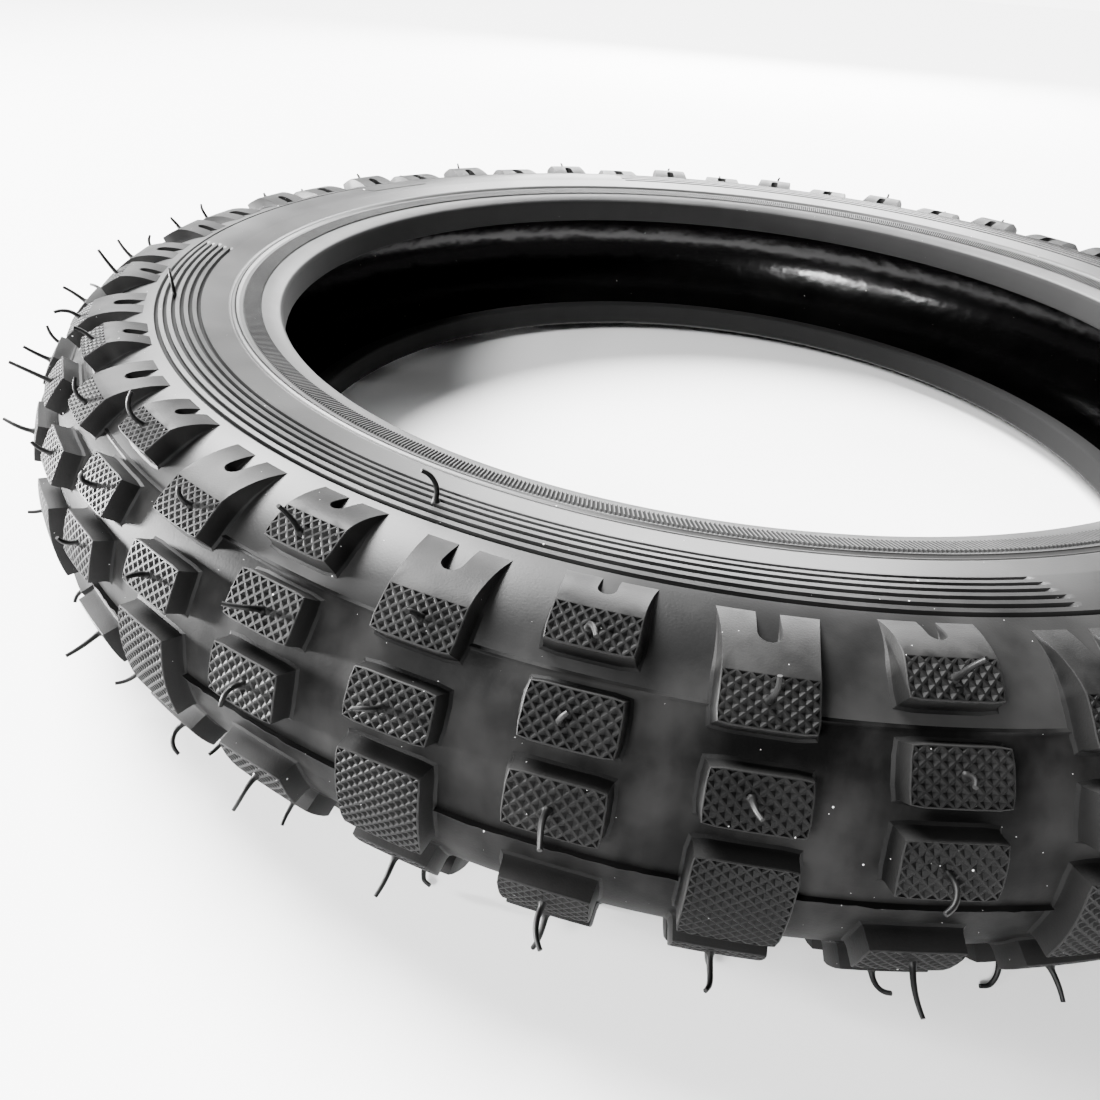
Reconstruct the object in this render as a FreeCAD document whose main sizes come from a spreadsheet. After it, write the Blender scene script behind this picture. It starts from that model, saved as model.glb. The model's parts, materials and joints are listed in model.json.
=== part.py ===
"""Knobby motorcycle tyre, 2.50-10, as an assembly of its rubber, cord and wire parts.

The tyre lies flat. +Z is its axis, the origin is on the axis at the level of the lowest tread knobs,
and all sizes are in millimetres and degrees. A section through the wheel axis is a round casing: its
centre lies on the mid-plane, and an angle on the section is measured there from the outward radius.
"""
import FreeCAD, Part
import Sketcher
import os

SIZES = [
    ("seat_radius", "126.6", "bead seat of a 10 inch rim, 253.2 mm across"),
    ("bead_face_span", "53.8", "between the two bead faces at their heels"),
    ("heel_width", "3.2", "slanted heel, measured along the radius"),
    ("heel_drop", "1.6", "fall of the heel towards the bead seat"),
    ("skin_radius", "30.5", "section radius of the casing without its knobs"),
    ("knob_height", "3.8", "tread knobs above the tread base"),
    ("tread_edge_angle", "50", "mould joint between tread base and sidewall"),
    ("tread_gauge", "3.0", "rubber over the plies"),
    ("breaker_gauge", "0.8", "thickness of the breaker strip"),
    ("breaker_edge_angle", "34", "edge of the breaker strip"),
    ("ply_gauge", "0.8", "thickness of one carcass ply"),
    ("liner_gauge", "0.8", "thickness of the inner liner"),
    ("chafer_gauge", "0.9", "chafer rubber under the bead"),
    ("face_gauge", "0.7", "chafer rubber on the bead face at the heel"),
    ("chafer_face", "7.0", "height of the chafer up the bead face from the heel"),
    ("core_radius", "2.2", "bead bundle with its insulation rubber"),
    ("wire_diameter", "0.96", "one bead wire"),
    ("wire_pitch", "1.05", "spacing of the bead wires in their square bundle"),
    ("casing_gap", "0.8", "straight run of the ply between casing and bead"),
    ("turn_up", "14.0", "length of the ply turned up past the bead"),
    ("columns", "22", "knob columns of each kind round the tread"),
    ("knob_width_angle", "4.4", "width of a knob round the tread"),
    ("wall_draft", "1.2", "widening of a knob at its foot, on the section"),
    ("inner_low", "10", "inner knob of a paired column, lower edge"),
    ("inner_high", "24.5", "inner knob of a paired column, upper edge"),
    ("middle_low", "32", "middle knob of a paired column, lower edge"),
    ("middle_high", "45.3", "middle knob of a paired column, upper edge"),
    ("shoulder_low", "55", "shoulder knob of a paired column, lower edge"),
    ("shoulder_high", "65.2", "shoulder knob of a paired column, upper edge"),
    ("shoulder_root", "79.5", "foot of that knob's buttress on the sidewall"),
    ("block_half", "14", "centre block, half its spread on the section"),
    ("flank_low", "22.2", "flank knob beside the centre block, lower edge"),
    ("flank_high", "35.3", "flank knob beside the centre block, upper edge"),
    ("edge_low", "44.8", "edge knob of a block column, lower edge"),
    ("edge_high", "57", "edge knob of a block column, upper edge"),
    ("edge_root", "77.5", "foot of that knob's buttress on the sidewall"),
    ("rib_count", "6", "fine grooves on the sidewall"),
    ("rib_pitch", "1.9", "spacing of the sidewall grooves"),
    ("rib_groove", "0.5", "width and depth of a sidewall groove"),
    ("rib_outer_radius", "155.6", "radius of the outermost sidewall groove"),
    ("rib_sector", "102", "length of each of the two grooved sectors"),
    ("rib_centre", "236.3", "direction of the middle of one grooved sector"),
    ("rim_line_height", "0.5", "raised fitting line above the bead face"),
    ("rim_line_width", "1.2", "width of the fitting line"),
    ("spew_diameter", "0.9", "moulded vent hair"),
    ("spew_length", "5.0", "vent hair above its knob"),
    ("pressed_spew", "1.0", "vent hair that is pressed short under the tyre"),
    ("flash_height", "0.9", "fin of rubber where the mould halves meet"),
    ("flash_width", "0.4", "thickness of that fin at its root"),
    ("flash_tip", "0.1", "thickness of that fin at its tip"),
    ("flash_clear", "0.8", "angle left between that fin and a centre block"),
    ("mark_height", "0.4", "raised marks on the sidewall"),
    ("wear_mark_low", "76", "edge of a wear mark beside the tread, on the section"),
    ("wear_mark_high", "80", "edge of a wear mark beside the bead, on the section"),
    ("wear_mark_angle", "1.8", "width of one wear mark"),
    ("wear_marks", "4", "wear marks on each sidewall"),
    ("wear_mark_gap", "3", "columns between a paired one and the gap with the first wear mark"),
    ("plaque_low", "84", "edge of a blank plaque beside the tread, on the section"),
    ("plaque_high", "97", "edge of a blank plaque beside the bead, on the section"),
    ("plaque_angle", "12", "length of one blank plaque"),
    ("plaque_centre", "326.3", "direction of one of the two blank plaques"),
]

WORKED_OUT = [
    ("casing_radius", "Sizes.skin_radius - Sizes.tread_gauge", "outside of the outer ply"),
    ("crown_radius", "Sizes.skin_radius + Sizes.knob_height", "section radius over the knobs"),
    ("ply_wrap", "Sizes.core_radius + 2 * Sizes.ply_gauge", "bead bundle with both plies"),
    ("bead_radius", "Sizes.seat_radius + ply_wrap + Sizes.chafer_gauge", "centre of the bundle"),
    ("heel_height", "Sizes.bead_face_span / 2", "bead face above the mid-plane"),
    ("bead_height", "heel_height - ply_wrap - Sizes.face_gauge", "bundle above the mid-plane"),
    ("heel_radius", "Sizes.seat_radius + Sizes.heel_width", "outer edge of the heel"),
    ("ply_reach", "casing_radius + Sizes.core_radius + Sizes.casing_gap", "section centre to bundle"),
    ("section_radius", "bead_radius + sqrt(ply_reach ^ 2 - bead_height ^ 2)", "section centre to axis"),
    ("wrap_angle", "180 deg - atan(bead_height / (section_radius - bead_radius))"
     " - acos((casing_radius + Sizes.core_radius) / ply_reach)", "where the ply leaves the casing"),
    ("heel_reach", "sqrt((section_radius - heel_radius) ^ 2 + heel_height ^ 2)", "section centre to heel"),
    ("face_angle", "180 deg - atan(heel_height / (section_radius - heel_radius))"
     " - acos(Sizes.skin_radius / heel_reach)", "direction that the bead face looks in"),
    ("mid_height", "crown_radius * sin(Sizes.shoulder_high)", "mid-plane above the origin"),
    ("turn_up_place", "Sizes.turn_up + (bead_radius - section_radius) * sin(face_angle)"
     " - bead_height * cos(face_angle)", "end of the turn-up along the bead face"),
    ("face_place", "Sizes.chafer_face + (heel_radius - bead_radius) * sin(face_angle)"
     " - (heel_height - bead_height) * cos(face_angle)", "end of the chafer, from the bundle"),
]

RING_DIRECTION = {"upper": "+", "lower": "-"}

# Each row: name, lower edge, upper edge, foot of its buttress, and whether it is in a block column.
KNOB_ROWS = [
    ("inner_knobs", "inner_low", "inner_high", None, False),
    ("middle_knobs", "middle_low", "middle_high", None, False),
    ("shoulder_knobs", "shoulder_low", "shoulder_high", "shoulder_root", False),
    ("flank_knobs", "flank_low", "flank_high", None, True),
    ("edge_knobs", "edge_low", "edge_high", "edge_root", True),
]


def make_sheets(doc):
    """The driving sizes, and a second sheet with what follows from them."""
    sizes = doc.addObject("Spreadsheet::Sheet", "Sizes")
    for row, (alias, value, meaning) in enumerate(SIZES, start=1):
        sizes.set(f"A{row}", alias)
        sizes.set(f"B{row}", value)
        sizes.set(f"C{row}", meaning)
        sizes.setAlias(f"B{row}", alias)
    doc.recompute()
    worked = doc.addObject("Spreadsheet::Sheet", "Worked")
    for row, (alias, formula, meaning) in enumerate(WORKED_OUT, start=1):
        worked.set(f"A{row}", alias)
        worked.set(f"B{row}", "=" + formula)
        worked.set(f"C{row}", meaning)
        worked.setAlias(f"B{row}", alias)
        doc.recompute()
    return sizes, worked


class Section:
    """Places on the tyre's section, each a pair of expressions for its radius and its height."""

    def __init__(self, side):
        self.side = side
        self.sign = RING_DIRECTION[side]

    def place(self, radius, height):
        """A place by its radius and its height over the mid-plane."""
        return radius, f"Worked.mid_height {self.sign} ({height})"

    def round_casing(self, radius, angle):
        """A place on a circle about the section's centre."""
        return self.place(f"Worked.section_radius + ({radius}) * cos({angle})",
                          f"({radius}) * sin({angle})")

    def beside_casing(self, radius, angle, aside):
        """A place on a circle about the section's centre, moved square to its radius."""
        return self.place(f"Worked.section_radius + ({radius}) * cos({angle}) - ({aside}) * sin({angle})",
                          f"({radius}) * sin({angle}) + ({aside}) * cos({angle})")

    def round_bead(self, radius, angle, along="0"):
        """A place on a circle about the bead bundle, moved along the bead face."""
        return self.place(
            f"Worked.bead_radius + ({radius}) * cos({angle}) + ({along}) * sin(Worked.face_angle)",
            f"Worked.bead_height + ({radius}) * sin({angle}) - ({along}) * cos(Worked.face_angle)")

    def ply_leaves_casing(self, radius):
        return self.round_casing(radius, "Worked.wrap_angle")

    def ply_meets_bead(self, radius):
        return self.round_bead(radius, "Worked.wrap_angle - 180 deg")

    def turn_up(self, radius, along="0"):
        return self.round_bead(radius, "Worked.face_angle", along)

    def turn_up_end(self):
        """Where the turn-up's square end stands on the casing."""
        across = "sqrt(Worked.casing_radius ^ 2 - Worked.turn_up_place ^ 2)"
        return self.place(
            f"Worked.section_radius + Worked.turn_up_place * sin(Worked.face_angle)"
            f" + {across} * cos(Worked.face_angle)",
            f"{across} * sin(Worked.face_angle) - Worked.turn_up_place * cos(Worked.face_angle)")

    def heel(self):
        return self.place("Worked.heel_radius", "Worked.heel_height")

    def face(self, along):
        """A place on the bead face, up from the heel."""
        return self.place(f"Worked.heel_radius + ({along}) * sin(Worked.face_angle)",
                          f"Worked.heel_height - ({along}) * cos(Worked.face_angle)")


UPPER = Section("upper")
LOWER = Section("lower")


def line_to(place):
    return place, None, None


def arc_to(place, radius, through):
    """An arc that ends at a place; `through` is any place on it, and only says which way it bends."""
    return place, radius, through


def make_sketch(body, name, outline):
    """Draw a closed outline on the body's XZ plane and lock each corner and radius to the sheets.

    The outline is a list of steps, each a corner with the arc's radius and a place on it or with
    None for a straight step; the first step closes the outline from the last corner.
    """
    sheet = body.Document.getObject("Worked")
    sketch = body.newObject("Sketcher::SketchObject", name)
    plane = [plane for plane in body.Origin.OriginFeatures if plane.Role == "XZ_Plane"][0]
    sketch.AttachmentSupport = (plane, "")
    sketch.MapMode = "FlatFace"

    def point(place):
        return FreeCAD.Vector(*(float(sheet.evalExpression(text)) for text in place), 0)

    corners = [point(step[0]) for step in outline]
    backwards = []
    for index, (_, radius, through) in enumerate(outline):
        start, corner = corners[index - 1], corners[index]
        clockwise = radius is not None and turns_clockwise(start, point(through), corner)
        backwards.append(clockwise)
        if radius is None:
            sketch.addGeometry(Part.LineSegment(start, corner))
        elif clockwise:
            sketch.addGeometry(Part.Arc(corner, point(through), start))
        else:
            sketch.addGeometry(Part.Arc(start, point(through), corner))
    for index, step in enumerate(outline):
        end = 1 if backwards[index] else 2
        following = (index + 1) % len(outline)
        begin = 2 if backwards[following] else 1
        sketch.addConstraint(Sketcher.Constraint("Coincident", index, end, following, begin))
        for kind, text in zip(("DistanceX", "DistanceY"), step[0]):
            value = float(sheet.evalExpression(text))
            number = sketch.addConstraint(Sketcher.Constraint(kind, -1, 1, index, end, value))
            sketch.setExpression(f"Constraints[{number}]", text)
        if step[1] is not None:
            value = float(sheet.evalExpression(step[1]))
            number = sketch.addConstraint(Sketcher.Constraint("Radius", index, value))
            sketch.setExpression(f"Constraints[{number}]", step[1])
    return sketch


def turns_clockwise(start, through, end):
    """A sketch wants every arc anticlockwise, so a clockwise one is drawn from its far end."""
    return (through - start).cross(end - start).z < 0


def make_body(doc, name):
    body = doc.addObject("PartDesign::Body", name)
    body.Label = name
    body.AllowCompound = True
    return body


def spin(body, sketch, angle=None):
    """Turn a sketch about the tyre's axis: a whole ring, or a sector centred on the XZ plane."""
    ring = body.newObject("PartDesign::Revolution", body.Name + "_spin")
    ring.Profile = sketch
    ring.ReferenceAxis = (sketch, ["V_Axis"])
    ring.Angle = 360
    if angle is not None:
        ring.Midplane = True
        ring.setExpression("Angle", angle)
    return ring


def repeat_round(body, features, count):
    """Repeat features round the tyre's axis."""
    pattern = body.newObject("PartDesign::PolarPattern", body.Name + "_round")
    pattern.Originals = features
    axis = [line for line in body.Origin.OriginFeatures if line.Role == "Z_Axis"][0]
    pattern.Axis = (axis, [""])
    pattern.Angle = 360
    pattern.setExpression("Occurrences", count)
    body.Tip = pattern
    return pattern


def turn(body, angle):
    """Turn a finished body about the tyre's axis."""
    body.Placement = FreeCAD.Placement(FreeCAD.Vector(), FreeCAD.Rotation(FreeCAD.Vector(0, 0, 1), 1))
    body.setExpression("Placement.Rotation.Angle", angle)


def make_ring(doc, name, outline):
    """A full ring with the given section."""
    body = make_body(doc, name)
    spin(body, make_sketch(body, name + "_section", outline))
    return body


def make_inner_liner(doc):
    """The airtight rubber film inside the casing, from bead to bead."""
    outside = "Worked.casing_radius - 2 * Sizes.ply_gauge"
    inside = f"{outside} - Sizes.liner_gauge"
    film = "Worked.ply_wrap + Sizes.liner_gauge"
    outline = [
        line_to(UPPER.ply_meets_bead("Worked.ply_wrap")),
        line_to(UPPER.ply_leaves_casing(outside)),
        arc_to(LOWER.ply_leaves_casing(outside), outside, UPPER.round_casing(outside, "0")),
        line_to(LOWER.ply_meets_bead("Worked.ply_wrap")),
        line_to(LOWER.ply_meets_bead(film)),
        line_to(LOWER.ply_leaves_casing(inside)),
        arc_to(UPPER.ply_leaves_casing(inside), inside, UPPER.round_casing(inside, "0")),
        line_to(UPPER.ply_meets_bead(film)),
    ]
    return make_ring(doc, "inner_liner", outline)


def make_ply(doc, name, layer):
    """One carcass ply, from turn-up to turn-up; layer 0 lies against the bead bundles."""
    outside = f"Worked.casing_radius - {layer} * Sizes.ply_gauge"
    inside = f"Worked.casing_radius - {layer + 1} * Sizes.ply_gauge"
    near = f"Sizes.core_radius + {layer} * Sizes.ply_gauge"
    far = f"Sizes.core_radius + {layer + 1} * Sizes.ply_gauge"
    outline = [
        line_to(UPPER.turn_up(near)),
        arc_to(UPPER.ply_meets_bead(near), near, UPPER.round_bead(near, "180")),
        line_to(UPPER.ply_leaves_casing(outside)),
        arc_to(LOWER.ply_leaves_casing(outside), outside, UPPER.round_casing(outside, "0")),
        line_to(LOWER.ply_meets_bead(near)),
        arc_to(LOWER.turn_up(near), near, LOWER.round_bead(near, "180")),
        line_to(LOWER.turn_up(near, "Sizes.turn_up")),
        line_to(LOWER.turn_up(far, "Sizes.turn_up")),
        line_to(LOWER.turn_up(far)),
        arc_to(LOWER.ply_meets_bead(far), far, LOWER.round_bead(far, "180")),
        line_to(LOWER.ply_leaves_casing(inside)),
        arc_to(UPPER.ply_leaves_casing(inside), inside, UPPER.round_casing(inside, "0")),
        line_to(UPPER.ply_meets_bead(far)),
        arc_to(UPPER.turn_up(far), far, UPPER.round_bead(far, "180")),
        line_to(UPPER.turn_up(far, "Sizes.turn_up")),
        line_to(UPPER.turn_up(near, "Sizes.turn_up")),
    ]
    return make_ring(doc, name, outline)


def make_breaker(doc):
    """The strip of cord fabric under the middle of the tread."""
    inside = "Worked.casing_radius"
    outside = "Worked.casing_radius + Sizes.breaker_gauge"
    edge = "Sizes.breaker_edge_angle"
    outline = [
        arc_to(UPPER.round_casing(outside, edge), outside, UPPER.round_casing(outside, "0")),
        line_to(UPPER.round_casing(inside, edge)),
        arc_to(LOWER.round_casing(inside, edge), inside, UPPER.round_casing(inside, "0")),
        line_to(LOWER.round_casing(outside, edge)),
    ]
    return make_ring(doc, "breaker_strip", outline)


def make_tread_base(doc):
    """The smooth rubber under the knobs, with a seat for the breaker strip on its inside."""
    skin = "Sizes.skin_radius"
    casing = "Worked.casing_radius"
    seat = "Worked.casing_radius + Sizes.breaker_gauge"
    edge = "Sizes.tread_edge_angle"
    step = "Sizes.breaker_edge_angle"
    between = "(Sizes.tread_edge_angle + Sizes.breaker_edge_angle) / 2"
    outline = [
        arc_to(UPPER.round_casing(skin, edge), skin, UPPER.round_casing(skin, "0")),
        line_to(UPPER.round_casing(casing, edge)),
        arc_to(UPPER.round_casing(casing, step), casing, UPPER.round_casing(casing, between)),
        line_to(UPPER.round_casing(seat, step)),
        arc_to(LOWER.round_casing(seat, step), seat, UPPER.round_casing(seat, "0")),
        line_to(LOWER.round_casing(casing, step)),
        arc_to(LOWER.round_casing(casing, edge), casing, LOWER.round_casing(casing, between)),
        line_to(LOWER.round_casing(skin, edge)),
    ]
    return make_ring(doc, "tread_base", outline)


def make_sidewall(doc, side):
    """The outer rubber from the tread base to the chafer, with its fitting line and its grooves."""
    section = Section(side)
    skin = "Sizes.skin_radius"
    casing = "Worked.casing_radius"
    wrap = "Worked.ply_wrap"
    edge = "Sizes.tread_edge_angle"
    line_start = "Sizes.chafer_face + Sizes.rim_line_width / 2"
    line_top = "Sizes.chafer_face + Sizes.rim_line_width"
    line_end = "Sizes.chafer_face + Sizes.rim_line_width * 3 / 2"
    crest = section.face(line_top)
    raised = section.place(f"{crest[0]} + Sizes.rim_line_height * cos(Worked.face_angle)",
                           f"Worked.heel_height - ({line_top}) * cos(Worked.face_angle)"
                           " + Sizes.rim_line_height * sin(Worked.face_angle)")
    body = make_body(doc, "sidewall_" + side)
    outline = [
        line_to(section.round_casing(skin, edge)),
        arc_to(section.round_casing(skin, "Worked.face_angle"), skin, section.round_casing(skin, "70")),
        line_to(section.face(line_end)),
        line_to(raised),
        line_to(section.face(line_start)),
        line_to(section.face("Sizes.chafer_face")),
        line_to(section.turn_up(wrap, "Worked.face_place")),
        line_to(section.turn_up(wrap, "Sizes.turn_up")),
        line_to(section.turn_up_end()),
        arc_to(section.round_casing(casing, edge), casing, section.round_casing(casing, "70")),
    ]
    spin(body, make_sketch(body, body.Name + "_section", outline))
    cut_grooves(body, section)
    return body


def cut_grooves(body, section):
    """Fine V grooves round the sidewall, each a triangle on the skin.

    The outermost one runs all the way round, and the others only over two sectors.
    """
    sheet = body.Document.getObject("Sizes")
    grooves = []
    for number in range(int(sheet.get("rib_count"))):
        angle = (f"acos((Sizes.rib_outer_radius - {number} * Sizes.rib_pitch - Worked.section_radius)"
                 " / Sizes.skin_radius)")
        half = "Sizes.rib_groove / 2 / Sizes.skin_radius * 1 rad"
        proud = "Sizes.skin_radius + Sizes.rib_groove / 2"
        outline = [
            line_to(section.round_casing(proud, f"{angle} - {half}")),
            line_to(section.round_casing(proud, f"{angle} + {half}")),
            line_to(section.round_casing("Sizes.skin_radius - Sizes.rib_groove", angle)),
        ]
        sketch = make_sketch(body, f"{body.Name}_groove_{number + 1}", outline)
        groove = body.newObject("PartDesign::Groove", f"{body.Name}_cut_{number + 1}")
        groove.Profile = sketch
        groove.ReferenceAxis = (sketch, ["V_Axis"])
        groove.Angle = 360
        if number > 0:
            groove.Midplane = True
            groove.setExpression("Angle", "Sizes.rib_sector")
            grooves.append(groove)
    repeat_round(body, grooves, "2")
    turn(body, "Sizes.rib_centre")


def make_bead_filler(doc, side):
    """The rubber wedge between the ply and its turn-up, over the bead bundle."""
    section = Section(side)
    core = "Sizes.core_radius"
    casing = "Worked.casing_radius"
    outline = [
        arc_to(section.ply_meets_bead(core), core, section.round_bead(core, "20")),
        line_to(section.ply_leaves_casing(casing)),
        arc_to(section.turn_up_end(), casing, section.round_casing(casing, "Worked.wrap_angle - 5 deg")),
        line_to(section.turn_up(core, "Sizes.turn_up")),
        line_to(section.turn_up(core)),
    ]
    return make_ring(doc, "bead_filler_" + side, outline)


def make_chafer(doc, side):
    """The rubber strip round the bead, from the liner past the seat and heel to the fitting line."""
    section = Section(side)
    wrap = "Worked.ply_wrap"
    toe_height = "Worked.bead_height - Worked.ply_wrap - Sizes.chafer_gauge"
    outline = [
        line_to(section.ply_meets_bead(wrap)),
        arc_to(section.turn_up(wrap), wrap, section.round_bead(wrap, "180")),
        line_to(section.turn_up(wrap, "Worked.face_place")),
        line_to(section.face("Sizes.chafer_face")),
        line_to(section.heel()),
        line_to(section.place("Sizes.seat_radius", "Worked.heel_height - Sizes.heel_drop")),
        line_to(section.place("Sizes.seat_radius", toe_height)),
        line_to(section.place("Worked.bead_radius", toe_height)),
        line_to(section.ply_meets_bead("Worked.ply_wrap + Sizes.liner_gauge")),
    ]
    return make_ring(doc, "chafer_" + side, outline)


def make_bead_wires(doc, side):
    """Nine rings of bead wire in a square bundle."""
    sign = RING_DIRECTION[side]
    wires = []
    for column in (-1, 0, 1):
        for row in (-1, 0, 1):
            wire = doc.addObject("Part::Torus", f"wire_{side}_{column + 2}_{row + 2}")
            wire.setExpression("Radius1", f"Worked.bead_radius + {column} * Sizes.wire_pitch")
            wire.setExpression("Radius2", "Sizes.wire_diameter / 2")
            wire.setExpression("Placement.Base.z", f"Worked.mid_height {sign} (Worked.bead_height"
                               f" + {row} * Sizes.wire_pitch)")
            wires.append(wire)
    bundle = doc.addObject("Part::Compound", "bead_wires_" + side)
    bundle.Links = wires
    bundle.Label = bundle.Name
    return bundle


def make_bead_insulation(doc, side, wires):
    """The rubber that holds the wires together, a round ring with the wires cast into it."""
    sign = RING_DIRECTION[side]
    ring = doc.addObject("Part::Torus", "insulation_ring_" + side)
    ring.setExpression("Radius1", "Worked.bead_radius")
    ring.setExpression("Radius2", "Sizes.core_radius")
    ring.setExpression("Placement.Base.z", f"Worked.mid_height {sign} Worked.bead_height")
    cast = doc.addObject("Part::Cut", "bead_insulation_" + side)
    cast.Base = ring
    cast.Tool = wires
    cast.Label = cast.Name
    return cast


def knob_outline(section, low, high, root=None):
    """A knob's section: foot on the skin, top on the crown, and for a shoulder knob its buttress."""
    skin = "Sizes.skin_radius"
    crown = "Worked.crown_radius"
    foot_low = f"{low} - Sizes.wall_draft"
    foot_high = f"{high} + Sizes.wall_draft" if root is None else root
    return [
        line_to(section.round_casing(crown, low)),
        arc_to(section.round_casing(crown, high), crown,
               section.round_casing(crown, f"({low} + {high}) / 2")),
        line_to(section.round_casing(skin, foot_high)),
        arc_to(section.round_casing(skin, foot_low), skin,
               section.round_casing(skin, f"({foot_low} + {foot_high}) / 2")),
    ]


def make_knob_row(doc, name, outline, in_block_column):
    """One ring of equal knobs; block columns stand half-way between paired columns."""
    body = make_body(doc, name)
    knob = spin(body, make_sketch(body, name + "_section", outline), "Sizes.knob_width_angle")
    repeat_round(body, [knob], "Sizes.columns")
    turn(body, "180 deg / Sizes.columns" if in_block_column else "0 deg")
    return body


def make_tread_knobs(doc):
    """All the knob rows: the centre blocks, then the rows of each side."""
    crown = "Worked.crown_radius"
    skin = "Sizes.skin_radius"
    half = "Sizes.block_half"
    foot = "Sizes.block_half + Sizes.wall_draft"
    centre = [
        line_to(LOWER.round_casing(crown, half)),
        arc_to(UPPER.round_casing(crown, half), crown, UPPER.round_casing(crown, "0")),
        line_to(UPPER.round_casing(skin, foot)),
        arc_to(LOWER.round_casing(skin, foot), skin, UPPER.round_casing(skin, "0")),
    ]
    rows = [make_knob_row(doc, "centre_blocks", centre, True)]
    for side in RING_DIRECTION:
        section = Section(side)
        for name, low, high, root, in_block_column in KNOB_ROWS:
            outline = knob_outline(section, "Sizes." + low, "Sizes." + high,
                                   "Sizes." + root if root else None)
            rows.append(make_knob_row(doc, f"{name}_{side}", outline, in_block_column))
    return rows


def add_spew(body, name, section, angle, length):
    """A vent hair that stands square on the crown, half its section turned about its own axis."""
    crown = "Worked.crown_radius"
    tip = f"{crown} + {length}"
    half = "Sizes.spew_diameter / 2"
    outline = [
        line_to(section.beside_casing(crown, angle, half)),
        line_to(section.beside_casing(tip, angle, half)),
        line_to(section.round_casing(tip, angle)),
        line_to(section.round_casing(crown, angle)),
    ]
    sketch = make_sketch(body, name + "_section", outline)
    middle_line = sketch.addGeometry(Part.LineSegment(sketch.Geometry[3].StartPoint,
                                                      sketch.Geometry[3].EndPoint), True)
    sketch.addConstraint(Sketcher.Constraint("Coincident", middle_line, 1, 3, 1))
    sketch.addConstraint(Sketcher.Constraint("Coincident", middle_line, 2, 3, 2))
    hair = body.newObject("PartDesign::Revolution", name)
    hair.Profile = sketch
    hair.ReferenceAxis = (sketch, ["Axis0"])
    hair.Angle = 360
    return hair


def make_vent_spews(doc, side, in_block_column):
    """The vent hairs of one side's knobs in one kind of column.

    The tyre lies on its lower shoulder knobs, so the hairs there are pressed short.
    """
    section = Section(side)
    column = "block" if in_block_column else "paired"
    body = make_body(doc, f"vent_hairs_{column}_{side}")
    hairs = []
    for name, low, high, root, block_row in KNOB_ROWS:
        if block_row != in_block_column:
            continue
        lies_on_it = name == "shoulder_knobs" and side == "lower"
        length = "Sizes.pressed_spew" if lies_on_it else "Sizes.spew_length"
        middle = f"(Sizes.{low} + Sizes.{high}) / 2"
        hairs.append(add_spew(body, f"{name}_hair_{side}", section, middle, length))
    repeat_round(body, hairs, "Sizes.columns")
    turn(body, "180 deg / Sizes.columns" if in_block_column else "0 deg")
    return body


def make_parting_flash(doc):
    """The thin fin on the mid-plane of the tread base, between each centre block and the next."""
    body = make_body(doc, "parting_flash")
    rim = "Worked.section_radius + Sizes.skin_radius"
    half = "Sizes.flash_width / 2 / Sizes.skin_radius * 1 rad"
    skin = "Sizes.skin_radius"
    fin = [
        line_to(UPPER.place(f"{rim} + Sizes.flash_height", "Sizes.flash_tip / 2")),
        line_to(LOWER.place(f"{rim} + Sizes.flash_height", "Sizes.flash_tip / 2")),
        line_to(LOWER.round_casing(skin, half)),
        arc_to(UPPER.round_casing(skin, half), skin, UPPER.round_casing(skin, "0")),
    ]
    gap = "(360 / Sizes.columns - Sizes.knob_width_angle - 2 * Sizes.flash_clear) * 1 deg"
    sector = spin(body, make_sketch(body, "parting_flash_section", fin), gap)
    repeat_round(body, [sector], "Sizes.columns")
    return body


def raised_mark(section, start, end):
    """The section of a mark that stands on the skin between two angles of the section."""
    skin = "Sizes.skin_radius"
    top = "Sizes.skin_radius + Sizes.mark_height"
    middle = f"(({start}) + ({end})) / 2"
    return [
        line_to(section.round_casing(top, start)),
        arc_to(section.round_casing(top, end), top, section.round_casing(top, middle)),
        line_to(section.round_casing(skin, end)),
        arc_to(section.round_casing(skin, start), skin, section.round_casing(skin, middle)),
    ]


def make_wear_marks(doc, side):
    """Small raised marks half-way between two columns that show where the wear bars are."""
    section = Section(side)
    body = make_body(doc, "wear_marks_" + side)
    outline = raised_mark(section, "Sizes.wear_mark_low", "Sizes.wear_mark_high")
    mark = spin(body, make_sketch(body, body.Name + "_section", outline), "Sizes.wear_mark_angle")
    repeat_round(body, [mark], "Sizes.wear_marks")
    turn(body, "(Sizes.wear_mark_gap + 1 / 4) * 360 deg / Sizes.columns")
    return body


def make_plaques(doc, side):
    """Two blank raised plaques on the smooth stretches between the grooved sectors."""
    section = Section(side)
    body = make_body(doc, "plaque_" + side)
    outline = raised_mark(section, "Sizes.plaque_low", "Sizes.plaque_high")
    plaque = spin(body, make_sketch(body, body.Name + "_section", outline), "Sizes.plaque_angle")
    repeat_round(body, [plaque], "2")
    turn(body, "Sizes.plaque_centre")
    return body


def make_side(doc, side):
    """Everything that a tyre has once on each side, apart from its knobs."""
    wires = make_bead_wires(doc, side)
    return [
        wires,
        make_bead_insulation(doc, side, wires),
        make_bead_filler(doc, side),
        make_chafer(doc, side),
        make_sidewall(doc, side),
        make_wear_marks(doc, side),
        make_plaques(doc, side),
        make_vent_spews(doc, side, False),
        make_vent_spews(doc, side, True),
    ]


def check_document(doc):
    """Stop if any object failed to build."""
    failed = [f"{item.Name}: {item.State}" for item in doc.Objects
              if "Invalid" in item.State or "Error" in item.State]
    if failed:
        raise RuntimeError("not built: " + "; ".join(failed))


def check_part(part):
    """Stop if a sub-part's shape is missing, empty or not valid."""
    shape = part.Shape
    if shape.isNull() or not shape.Solids or not shape.isValid():
        raise RuntimeError(f"{part.Label} has no valid solid")


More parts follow.
